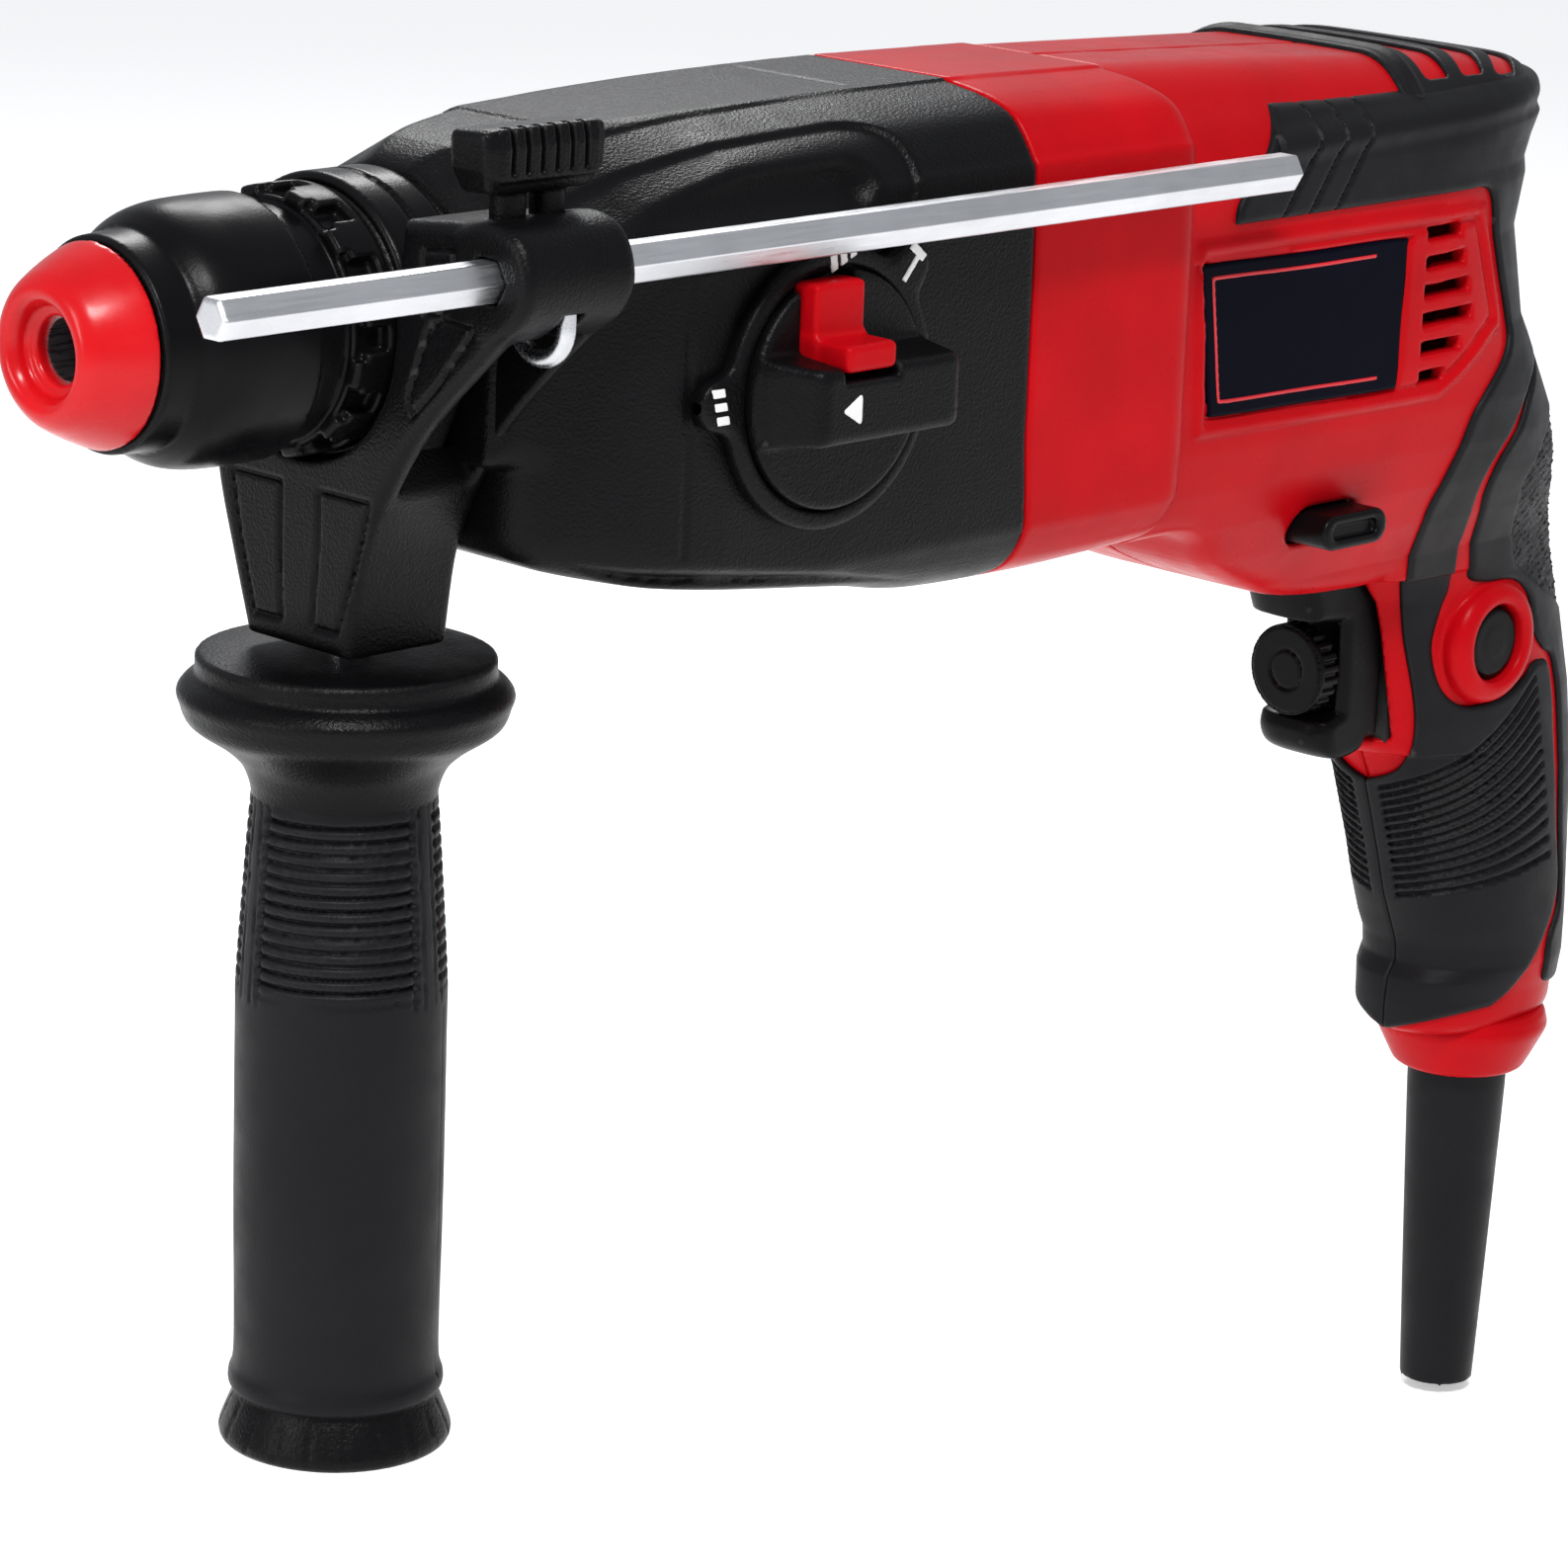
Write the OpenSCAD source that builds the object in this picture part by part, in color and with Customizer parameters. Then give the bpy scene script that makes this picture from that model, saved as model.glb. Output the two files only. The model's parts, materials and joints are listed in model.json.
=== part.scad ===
// Corded rotary hammer with a side handle, a depth rod and a wobble-driven striking mechanism.
// The spindle axis is X and the nose points to -X. The origin is the centre of the tool bore's mouth.

/* [Chuck] */
// Radius of the tool bore
bore_r = 5.05; // [5.03:0.01:5.1]
// Outer radius of the locking sleeve
sleeve_r = 21.6; // [21.4:0.1:21.8]
// Radius of the nose cap's rear rim
cap_r = 16.6; // [16.2:0.1:16.9]

/* [Casings] */
// Half width of the gearbox and motor casing
case_w = 39.6; // [39:0.1:40.2]
// Half width of the rear handle at the label
rear_w = 34.4; // [34.2:0.1:34.8]
// Wall thickness of the moulded casings
wall = 2.4; // [2.2:0.1:2.5]
// Height of the casing top above the spindle axis
top_z = 31.2; // [31:0.1:31.6]
// Thickness of the rubber overmoulding
rubber_t = 1.2; // [1:0.1:1.4]

/* [Gear train] */
// Teeth on the motor pinion
motor_teeth = 9; // [9:1:9]
// Teeth on the countershaft gear
counter_teeth = 31; // [31:1:31]
// Teeth on the countershaft pinion
pinion_teeth = 10; // [10:1:10]
// Teeth on the spindle gear
spindle_teeth = 40; // [40:1:40]
// Module of the motor stage
motor_module = 1; // [1:0.05:1]
// Module of the spindle stage
spindle_module = 1.25; // [1.25:0.05:1.25]
// Play between meshing teeth
tooth_play = 0.16; // [0.14:0.01:0.2]

/* [Selector] */
// Centre of the mode selector along the body
selector_x = 130.3; // [129:0.5:132]
// Height of the selector's centre
selector_z = -14.2; // [-15:0.2:-13.6]
// Radius of the selector disc
selector_r = 20.3; // [20:0.1:20.5]

/* [Side handle] */
// Position of the side handle along the body
handle_x = 60.8; // [60.6:0.1:61]
// Radius of the handle's flange
flange_r = 28.1; // [27:0.1:29]
// Radius of the grip
grip_r = 17.8; // [17.2:0.1:18]
// Height of the handle's foot
foot_z = -194.5; // [-198:0.5:-192]

/* [Depth stop] */
// Length of the depth rod
rod_l = 248.4; // [240:0.4:254]
// Width of the depth rod across its flats
rod_af = 6.4; // [6.2:0.1:6.5]
// Sideways place of the depth rod
rod_y = -45; // [-45.2:0.1:-44.8]
// Height of the depth rod
rod_z = 12.7; // [12.5:0.1:12.9]

/* [Cord end] */
// Radius of the hole for the mains cord
cord_r = 4.3; // [4:0.1:4.5]
// Height of the lower end of the bend-protection sleeve
cord_end_z = -261; // [-265:1:-255]

/* [Hidden] */
$fn = 64;
hull_fn = 32;
gap = 0.3;
slip = 0.05;
counter_z = -spindle_module * (pinion_teeth + spindle_teeth) / 2;
motor_z = counter_z + motor_module * (motor_teeth + counter_teeth) / 2;
pressure_angle = 25;
addendum = 0.85;
dedendum = 1.12;
// Stations along the body
case_end = 182;
motor_end = 226;
neck_x = 52.3;
neck_r = 21.4;
bell_r = 25.5;
case_x = 72.8;
wobble_x = 140;
flange_x = 168;
bracket_x = 49.3;
bracket_l = 23;
bearing_w = 7;
tube_end = 124;
tube_bore = 12.5;
piston_r = 12.42;
striker_r = 10.35;
// Controls
lock_on_x = 344.6;
lock_on_z = -94;
lock_on_r = 7.3;
direction_x = 278.4;
direction_z = -59.2;
lock_l = 11.6;
dial_z = -97.6;
dial_r = 10.2;
cord_x = 369;
collar_z = -180;
// Side views of the casings, as [x, z] points
case_side = [[case_x, -36], [case_x, 24], [75, 27], [80, 28.2], [95, 29.4], [96.5, top_z - 0.6],
    [150, top_z], [case_end, top_z - 0.4], [case_end, -57.8], [165, -56.6], [146, -52.6],
    [107, -47], [77, -40.5]];
motor_side = [[case_end + gap, top_z - 0.4], [motor_end, 29.6], [motor_end, -56.4],
    [200, -57.6], [case_end + gap, -57.8]];
rear_side = [[motor_end + gap, 29.6], [250, 28.8], [298, 26.4], [326, 24], [341, 21.5], [350, 17.5], [352.5, 12],
    [350, 6.5], [346, 1], [345, -6], [348, -20], [354.5, -36], [363, -54], [371, -70], [377, -85], [330, -85],
    [316, -80], [300, -79], [277, -77], [253, -68], [243, -58], [236, -56.4], [motor_end + gap, -56.4]];
// Grip slices, as [x, z, half depth, half width]
grip_slices = [[351, -76, 25, 18.2], [361, -127, 27, 17.8], [364, -155, 24.2, 16.6], [366, collar_z, 22, 15.6]];
// Outline of the rubber on the rear of the body and its grip, in side view
band_region = [[248.2, 22.5], [270, 21.6], [318, 22.4], [341, 30], [365, 30], [365, -30], [340, -34], [326, -44],
    [323, -56], [326, -72], [327, -84], [329, -100], [338, -108], [350, -108.5], [359, -101], [366, -103],
    [371, -118], [377, -153], [365, -179], [340, -179], [300, -179], [300, -112.5], [312, -117.5], [321, -113],
    [322.5, -104], [317, -88], [312, -68], [313, -50], [318, -38.5], [326.5, -29], [323.5, -18], [319.5, -3],
    [313, 1.5], [240.4, 1.6], [241.6, 6.2], [248.5, 14.8]];
// Outline of the outer pad on the back of the grip, in side view
pad_region = [[342, -36], [330, -46.5], [326, -56], [332, -74], [334, -79.5], [350.5, -81.5], [357.5, -87],
    [360.5, -97.5], [367, -99.5], [372.5, -117], [379, -153], [373, -165], [377, -176], [400, -176], [400, -36]];

// ---- Shared shapes ----

// Cylinder along X from x0 to x1
module bar_x(x0, x1, r, y = 0, z = 0) {
    translate([x0, y, z]) rotate([0, 90, 0]) cylinder(h = x1 - x0, r = r);
}

// Ring along X from x0 to x1
module ring_x(x0, x1, ro, ri, y = 0, z = 0) {
    difference() {
        bar_x(x0, x1, ro, y, z);
        bar_x(x0 - 1, x1 + 1, ri, y, z);
    }
}

// Profile of [radius, x] points turned about the X axis
module turn_x(points, z = 0) {
    translate([0, 0, z]) rotate([0, 90, 0]) rotate_extrude() polygon(points);
}

// Box between two corners
module block(a, b) {
    translate(a) cube([b[0] - a[0], b[1] - a[1], b[2] - a[2]]);
}

// Side-view outline [x, z] extruded from y0 to y1
module side_extrude(y0, y1) {
    translate([0, y1, 0]) rotate([90, 0, 0]) linear_extrude(y1 - y0) children();
}

// Front-view outline [y, z] extruded from x0 to x1
module front_extrude(x0, x1) {
    translate([x0, 0, 0]) rotate([90, 0, 90]) linear_extrude(x1 - x0) children();
}

function involute(a) = tan(a) * 180 / PI - a;

// One tooth's outline, from its left root to its right root
function tooth(n, m, turn) =
    let (rp = n * m / 2, rb = rp * cos(pressure_angle), ra = rp + addendum * m,
        rf = rp - dedendum * m, r0 = max(rb, rf), steps = 4,
        at_pitch = 90 / n - tooth_play / 4 / rp * 180 / PI + involute(pressure_angle),
        half = [for (i = [0 : steps]) at_pitch - involute(acos(rb / (r0 + (ra - r0) * i / steps)))],
        radius = [for (i = [0 : steps]) r0 + (ra - r0) * i / steps])
    concat([polar(min(rf, r0 - 0.05), turn - half[0])],
        [for (i = [0 : steps]) polar(radius[i], turn - half[i])],
        [for (i = [steps : -1 : 0]) polar(radius[i], turn + half[i])],
        [polar(min(rf, r0 - 0.05), turn + half[0])]);

function polar(r, a) = [r * cos(a), r * sin(a)];

// Spur gear along X with a tooth centred on the angle first, measured from +Y towards +Z
module gear(x0, x1, n, m, first, z) {
    translate([0, 0, z]) front_extrude(x0, x1)
        polygon([for (k = [0 : n - 1]) each tooth(n, m, first + 360 * k / n)]);
}

// Coil spring along Z, made of rings of points swept along a helix
module coil(r, wire, h, turns, sides) {
    rings = turns * 12;
    points = [for (i = [0 : rings]) for (k = [0 : sides - 1])
        let (a = 30 * i, b = 360 * k / sides, rr = r + wire * cos(b))
        [rr * cos(a), rr * sin(a), h * i / rings + wire * sin(b)]];
    walls = [for (i = [0 : rings - 1]) for (k = [0 : sides - 1])
        let (n = (k + 1) % sides)
        [i * sides + k, (i + 1) * sides + k, (i + 1) * sides + n, i * sides + n]];
    first = [[for (k = [0 : sides - 1]) k]];
    last = [[for (k = [sides - 1 : -1 : 0]) rings * sides + k]];
    polyhedron(points, concat(first, walls, last), convexity = 10);
}

// Ball bearing along X: two races and a ring of balls
module bearing(x0, ro, ri, z, balls) {
    mid = (ro + ri) / 2;
    race = (ro - ri) * 0.28;
    ring_x(x0, x0 + bearing_w, ro, ro - race, 0, z);
    ring_x(x0, x0 + bearing_w, ri + race, ri, 0, z);
    for (k = [0 : balls - 1])
        translate([x0 + bearing_w / 2, mid * cos(360 * k / balls), z + mid * sin(360 * k / balls)])
            sphere(r = (ro - ri) * 0.215);
}

// ---- Casing forms ----

// Front view of the gearbox and motor casing
module case_section(d = 0) {
    w = case_w - d;
    offset(r = 4) offset(r = -4 - d) polygon([[-20, top_z], [20, top_z], [33, 26.5], [case_w, 14],
        [case_w, -44], [33, -58], [-33, -58], [-case_w, -44], [-case_w, 14], [-33, 26.5]]);
}

// Plan view of the gearbox casing
module case_plan(d = 0) {
    offset(delta = -d) polygon([[case_x - 1, -27], [80, -31.5], [104, -case_w], [case_end + 60, -case_w],
        [case_end + 60, case_w], [104, case_w], [80, 31.5], [case_x - 1, 27]]);
}

module gearbox_form(d = 0) {
    intersection() {
        side_extrude(-case_w - 1, case_w + 1) offset(delta = -d) polygon(case_side);
        front_extrude(case_x - 2, case_end + 1) case_section(d);
        translate([0, 0, -80]) linear_extrude(130) case_plan(d);
    }
}

// Front view of the rear handle's body
module rear_section(d = 0) {
    offset(r = 3) offset(r = -3 - d) polygon([[-20, 30], [20, 30], [30, 26], [rear_w, 17], [rear_w, -38],
        [24, -60], [19.6, -72], [19.6, -90], [-19.6, -90], [-19.6, -72], [-24, -60], [-rear_w, -38],
        [-rear_w, 17], [-30, 26]]);
}

// Plan view of the rear handle's body, rounded at the back
module rear_plan(d, back) {
    offset(delta = -d) union() {
        polygon(concat([[motor_end, rear_w], [motor_end, -rear_w]],
            [for (a = [-90 : 6 : 90]) [300 + (53 + back) * cos(a), rear_w * sin(a)]]));
        if (back > 0) polygon([for (a = [-180 : 9 : 171]) [350 + 28 * cos(a), 20 * sin(a)]]);
    }
}

module grip_slice(s, d) {
    translate([s[0], 0, s[1]]) scale([s[2] - d, s[3] - d, 1]) cylinder(h = 0.4, r = 1, $fn = hull_fn);
}

// The rear handle with its grip, shrunk by d all round
module rear_form(d = 0) {
    intersection() {
        side_extrude(-rear_w - 1, rear_w + 1) offset(delta = -d) polygon(rear_side);
        front_extrude(motor_end - 1, 392) rear_section(d);
        union() {
            translate([0, 0, -44]) linear_extrude(80) rear_plan(d, 0);
            translate([0, 0, -90]) linear_extrude(47) rear_plan(d, 12);
        }
    }
    for (k = [0 : 2])
        hull() {
            grip_slice(grip_slices[k], d);
            grip_slice(grip_slices[k + 1], d);
        }
}

// Half space on one side of the joint face: side is -1 for left (-Y) and 1 for right (+Y)
module half_space(side, slack = 0) {
    y0 = side < 0 ? -60 : slack;
    block([motor_end - 2, y0, -200], [400, y0 + 60 - slack, 60]);
}

// ---- Chuck ----

module nose_cap() {
    color("crimson") turn_x([[bore_r, 0], [7, 0], [7.6, -1.2], [9, -2.8], [10.6, -3.1], [12, -2.2],
        [12.6, -0.4], [cap_r - 0.4, 6.6], [cap_r, 7.2], [cap_r, 8], [9, 8], [9, 2.6], [bore_r, 2.6]]);
}

module chuck_sleeve() {
    color("dimgray") turn_x([[8.65, 8.4], [17.1, 8.4], [17.8, 14.6], [18.6, 15.2], [20.6, 18], [21.4, 22],
        [sleeve_r, 27], [sleeve_r, 35.8], [sleeve_r - 0.6, 36.4], [20, 36.4], [20, 27.6], [15.25, 27.6],
        [15.25, 13], [8.65, 13]]);
}

module ball_retainer() {
    color("silver") ring_x(20.6, 27.5, 15.2, 12.3);
}

module sleeve_spring() {
    color("silver") translate([28.5, 0, 0]) rotate([0, 90, 0]) coil(14, 0.8, 10.5, 3, 6);
}

module locking_balls() {
    color("silver") for (s = [-1, 1]) translate([24, 0, s * 8.65]) sphere(r = 3.5);
}

module chuck_ring() {
    slots = 8;
    color("dimgray") difference() {
        turn_x([[11.05, 41], [17, 41], [17, 34.6], [19.2, 34.6], [19.2, 43], [21.6, 43], [22, 43.4],
            [22, 51.4], [21.6, 51.9],
            [18.6, 51.9], [18.6, 48], [11.05, 48]]);
        for (k = [0 : slots - 1])
            rotate([360 * k / slots, 0, 0]) block([44.6, -5, 20.6], [50.2, 5, 23]);
    }
}

module spindle() {
    color("lightgray") difference() {
        turn_x([[bore_r, 2.7], [8.55, 2.7], [8.55, 30], [11, 32], [11, 50], [14, 52], [14, 66], [15, 68],
            [15, tube_end], [tube_bore, tube_end], [tube_bore, 70], [6.55, 68], [6.55, 42], [bore_r, 40]]);
        for (s = [-1, 1]) translate([24, 0, s * 8.65]) sphere(r = 3.6);
    }
}

module spindle_gear() {
    color("silver") difference() {
        gear(104, 114, spindle_teeth, spindle_module, -90 + 180 / spindle_teeth, 0);
        bar_x(103, 115, 15.02);
    }
}

module spindle_bearing() {
    color("lightsteelblue") bearing(55, 18.4, 14.05, 0, 12);
}

// ---- Gearbox ----

module gearbox_housing() {
    color("#26272a") difference() {
        union() {
            difference() {
                gearbox_form();
                difference() {
                    gearbox_form(wall + 0.4);
                    ring_x(case_x, 94, 11, 8.05, 0, counter_z);
                }
                front_extrude(case_end - 6, case_end + 1) case_section(wall);
            }
            bar_x(neck_x, case_x + 3, neck_r);
            bar_x(66.6, case_x + 3, bell_r);
        }
        bar_x(neck_x - 1, 63, 18.45);
        bar_x(62.5, case_x + 6, 16.5);
        bar_x(84, 92, 8.05, 0, counter_z);
        translate([selector_x, -case_w - 1, selector_z]) rotate([-90, 0, 0]) cylinder(h = 6, r = 8);
        for (p = screw_places) bar_x(case_end - 14, case_end + 1, 2.05, p[0], p[1]);
    }
}

// Screws that hold the motor casing to the gearbox, as [y, z]
screw_places = [[-35.2, 6], [35.2, 6], [-35.2, -42], [35.2, -42]];
// Screws that join the handle shells, as [x, z]
shell_screws = [[292, 8], [306, -62], [360, -112], [364, -166], [326, 8]];

module housing_screws() {
    color("silver") {
        for (p = screw_places) {
            bar_x(case_end - 12, case_end + 4, 2, p[0], p[1]);
            bar_x(case_end + 4, case_end + 7, 3.4, p[0], p[1]);
        }
        for (p = shell_screws) translate([p[0], 12, p[1]]) rotate([90, 0, 0]) {
            cylinder(h = 22, r = 1.75);
            translate([0, 0, -2.4]) cylinder(h = 2.4, r = 3.3);
        }
    }
}

module inner_flange() {
    color("gainsboro") difference() {
        front_extrude(flange_x, flange_x + 7.4) offset(delta = -0.4) intersection() {
            case_section(wall + 0.4);
            translate([-60, -53]) square([120, 110]);
        }
        bar_x(flange_x + 0.4, flange_x + 8, 11.02, 0, motor_z);
        bar_x(flange_x - 1, flange_x + 8, 5.6, 0, motor_z);
        bar_x(flange_x - 1, flange_x + 7, 8.02, 0, counter_z);
        for (s = [-1, 1]) bar_x(flange_x - 1, flange_x + 8, 3, s * 25, 12);
        for (p = screw_places) bar_x(flange_x - 1, flange_x + 8, 2.4, p[0], p[1]);
    }
}

module countershaft() {
    color("silver") {
        bar_x(83, 103, 4.5, 0, counter_z);
        gear(103, 115, pinion_teeth, spindle_module, 90, counter_z);
        bar_x(115, flange_x + 6.5, 4.5, 0, counter_z);
    }
}

module countershaft_gear() {
    color("silver") difference() {
        gear(156, 163, counter_teeth, motor_module, 90 + 180 / counter_teeth, counter_z);
        bar_x(155, 164, 4.52, 0, counter_z);
    }
}

module countershaft_bearings() {
    color("lightsteelblue") {
        bearing(84.6, 8, 4.55, counter_z, 7);
        bearing(flange_x, 8, 4.55, counter_z, 7);
    }
}

module wobble_hub() {
    color("gray") translate([wobble_x, 0, counter_z]) difference() {
        intersection() {
            sphere(r = 9);
            bar_x(-7.5, 7.5, 10);
        }
        bar_x(-10, 10, 4.52);
    }
}

module wobble_ring() {
    color("silver") translate([wobble_x, 0, counter_z]) {
        difference() {
            bar_x(-4.5, 4.5, 13.4);
            sphere(r = 9.08);
        }
        translate([0, 0, 12.8]) cylinder(h = -counter_z - 12.8 + 6, r = 3);
    }
}

module trunnion_pin() {
    color("gray") difference() {
        translate([wobble_x, -11.4, 0]) rotate([-90, 0, 0]) cylinder(h = 22.8, r = 5);
        translate([wobble_x, 0, -8]) cylinder(h = 16, r = 3.2);
    }
}

module piston() {
    color("silver") difference() {
        union() {
            bar_x(84, 128, piston_r);
            intersection() {
                bar_x(126, wobble_x + 7, piston_r);
                union() {
                    block([126, 6.4, -9], [wobble_x + 8, 14, 9]);
                    block([126, -14, -9], [wobble_x + 8, -6.4, 9]);
                }
            }
        }
        bar_x(83, 116, 10.45);
        translate([wobble_x, -20, 0]) rotate([-90, 0, 0]) cylinder(h = 40, r = 5.05);
    }
}

module striker() {
    color("silver") turn_x([[0, 71.5], [5.6, 71.5], [6, 72], [6, 80], [striker_r - 1, 80], [striker_r, 81],
        [striker_r, 90], [striker_r - 1.4, 90], [striker_r - 1.4, 92.4], [striker_r, 92.4],
        [striker_r, 101], [0, 101]]);
}

module striker_seal() {
    color("black") ring_x(90.1, 92.3, striker_r + 0.05, striker_r - 1.35);
}

module beat_piece() {
    color("silver") turn_x([[0, 40.4], [4.4, 40.4], [4.9, 41], [4.9, 46], [6.48, 47.5], [6.48, 60], [5.5, 61],
        [5.5, 69.4], [0, 69.4]]);
}

// ---- Motor ----

module armature_shaft() {
    color("silver") {
        gear(154, 166, motor_teeth, motor_module, -90, motor_z);
        bar_x(166, 278.2, 4, 0, motor_z);
    }
}

module armature_core() {
    slots = 12;
    color("sienna") difference() {
        bar_x(199, 234, 17, 0, motor_z);
        bar_x(198, 235, 4.03, 0, motor_z);
        for (k = [0 : slots - 1])
            translate([0, 0, motor_z]) rotate([360 * k / slots, 0, 0])
                block([198, -1, 14.2], [235, 1, 18]);
    }
}

module commutator() {
    color("peru") difference() {
        ring_x(250, 264, 11, 4.03, 0, motor_z);
        for (k = [0 : 11])
            translate([0, 0, motor_z]) rotate([30 * k + 15, 0, 0]) block([249, -0.3, 10.2], [262, 0.3, 12]);
    }
}

module cooling_fan() {
    blades = 14;
    color("darkslategray") translate([0, 0, motor_z]) {
        ring_x(184.5, 186.5, 28.4, 4.03);
        ring_x(186.4, 193, 7, 4.03);
        for (k = [0 : blades - 1])
            rotate([360 * k / blades, 0, 0]) block([186.4, -0.7, 12], [193, 0.7, 28]);
    }
}

module motor_bearings() {
    color("lightsteelblue") {
        bearing(flange_x + 0.5, 11, 4.05, motor_z, 7);
        bearing(271, 11, 4.05, motor_z, 7);
    }
}

module stator_core() {
    color("slategray") difference() {
        bar_x(198, 235, 29, 0, motor_z);
        bar_x(197, 236, 17.5, 0, motor_z);
        for (s = [-1, 1]) translate([0, 0, motor_z])
            front_extrude(197, 236) translate([s * 19, 0]) square([13, 28], center = true);
    }
}

module field_coils() {
    color("peru") for (s = [-1, 1]) translate([0, 0, motor_z])
        front_extrude(194.5, 239.5) difference() {
            translate([s * 21.3, 0]) square([6.6, 24], center = true);
            circle(r = 17.9);
        }
}

module brush_holders() {
    color("goldenrod") for (s = [-1, 1]) difference() {
        block([252, min(s * 13, s * 28), motor_z - 5], [262, max(s * 13, s * 28), motor_z + 5]);
        block([253.4, min(s * 12, s * 26.5), motor_z - 3.1], [260.6, max(s * 12, s * 26.5), motor_z + 3.1]);
    }
}

module carbon_brushes() {
    color("#303030") for (s = [-1, 1])
        block([253.5, min(s * 11.2, s * 24), motor_z - 3], [260.5, max(s * 11.2, s * 24), motor_z + 3]);
}

module motor_housing() {
    color("crimson") difference() {
        union() {
            difference() {
                intersection() {
                    side_extrude(-case_w - 1, case_w + 1) polygon(motor_side);
                    front_extrude(case_end, motor_end + 1) case_section();
                }
                front_extrude(case_end - 1, motor_end - wall) case_section(wall);
            }
            bar_x(195, 284, 31.3, 0, motor_z);
            for (p = screw_places) bar_x(case_end + gap, 192, 5, p[0] * 0.96, p[1]);
        }
        bar_x(194, 269.8, 29.1, 0, motor_z);
        bar_x(269, 278.4, 11.02, 0, motor_z);
        for (s = [-1, 1])
            block([251.9, min(s * 12, s * 40), motor_z - 5.1], [262.1, max(s * 12, s * 40), motor_z + 5.1]);
        for (p = screw_places) {
            bar_x(case_end - 1, 193, 2.1, p[0], p[1]);
            bar_x(case_end + 3.9, 193, 3.6, p[0], p[1]);
        }
    }
}

// ---- Rear handle ----

// Openings and pockets that both shells share
module handle_pockets() {
    // Space of the trigger and its switch
    block([290, -9.6, -118.3], [352, 9.6, -62]);
    // Direction bar's slot
    side_extrude(-60, 60) translate([direction_x, direction_z]) stadium(18.5 + 2 * gap, 7 + 2 * gap);
    // Cord way through the foot of the grip
    translate([cord_x, 0, -200]) cylinder(h = 40, r = cord_r + 1);
    for (p = shell_screws) translate([p[0], 15, p[1]]) rotate([90, 0, 0]) {
        cylinder(h = 26, r = 1.8);
        translate([0, 0, -20]) cylinder(h = 23, r = 3.5);
    }
}

// Stadium outline, l long over its round ends and h high
module stadium(l, h) {
    hull() for (s = [-1, 1]) translate([s * (l - h) / 2, 0]) circle(d = h, $fn = 48);
}

// Vertical slots of the rear grille
module grille_slots() {
    pitch = 5.6;
    for (k = [0 : 5]) block([295, -60, -9 - k * pitch], [313 - (k > 3 ? (k - 3) * 5 : 0), 60, -6.2 - k * pitch]);
}

module handle_shell(side) {
    difference() {
        intersection() {
            rear_form();
            half_space(side, side > 0 ? slip : 0);
        }
        rear_cavity();
        handle_pockets();
        grille_slots();
        vent_seat();
        if (side < 0) translate([lock_on_x, -30, lock_on_z])
                rotate([-90, 0, 0]) cylinder(h = 30, r = lock_on_r + gap);
        label_seat(side);
    }
}

// Hollow inside of the handle, with bosses round the screws left standing
module rear_cavity() {
    difference() {
        intersection() {
            rear_form(wall);
            block([motor_end - 5, -60, collar_z + 6], [400, 60, 60]);
        }
        for (p = shell_screws) translate([p[0], 40, p[1]]) rotate([90, 0, 0]) cylinder(h = 80, r = 4.6);
    }
    block([motor_end - 1, -31.6, motor_z - 31.6], [287, 31.6, motor_z + 31.6]);
}

module handle_shell_left() {
    color("crimson") handle_shell(-1);
}

module handle_shell_right() {
    color("crimson") handle_shell(1);
}

// Rubber skin over one side-view region, on one side
module rubber_skin(region, side) {
    intersection() {
        difference() {
            rear_form(-rubber_t);
            rear_form(-slip);
        }
        difference() {
            side_extrude(-60, 60) polygon(region);
            // The mouth that the trigger fills
            block([280, -9.8, -118.6], [352, 9.8, -72]);
        }
        half_space(side, side > 0 ? slip : 0);
    }
}

module rear_rubber_left() {
    color("#2b2c2f") rubber_skin(band_region, -1);
}

module rear_rubber_right() {
    color("#2b2c2f") rubber_skin(band_region, 1);
}

module grip_pad_left() {
    color("#2b2c2f") difference() {
        rubber_skin(pad_region, -1);
        translate([lock_on_x, -30, lock_on_z]) rotate([-90, 0, 0]) cylinder(h = 30, r = 13.4);
    }
}

module grip_pad_right() {
    color("#2b2c2f") rubber_skin(pad_region, 1);
}

// Seat of the vent cover in the rear top
module vent_seat() {
    block([302, -17, 14], [344, 17, 60]);
}

module vent_cover() {
    color("#2b2c2f") difference() {
        intersection() {
            rear_form();
            block([302 + gap, -16.7, 15.2], [344 - gap, 16.7, 60]);
        }
        for (k = [0 : 3]) block([308 + 8.6 * k, -12, 17.4], [312.4 + 8.6 * k, 12, 60]);
    }
}

// Shallow seat of the label on one side
module label_seat(side) {
    y = side * rear_w;
    side_extrude(min(y - 0.7, y + 0.7), max(y - 0.7, y + 0.7)) label_outline(0.1);
}

module label_outline(grow = 0) {
    offset(r = 3) offset(r = -3 + grow) polygon([[231.5, -4.7], [291.2, -5.1], [290.4, -35.4], [234, -34.4]]);
}

module label_panels() {
    color("midnightblue") for (s = [-1, 1])
        side_extrude(min(s * (rear_w - 0.68), s * (rear_w - 0.08)), max(s * (rear_w - 0.68), s * (rear_w - 0.08)))
            label_outline();
}

// ---- Mode selector ----

// Cylinder towards -Y at the selector, from y0 out to y1
module selector_disc(y0, y1, r) {
    translate([selector_x, y0, selector_z]) rotate([90, 0, 0]) cylinder(h = y0 - y1, r = r);
}

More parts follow.
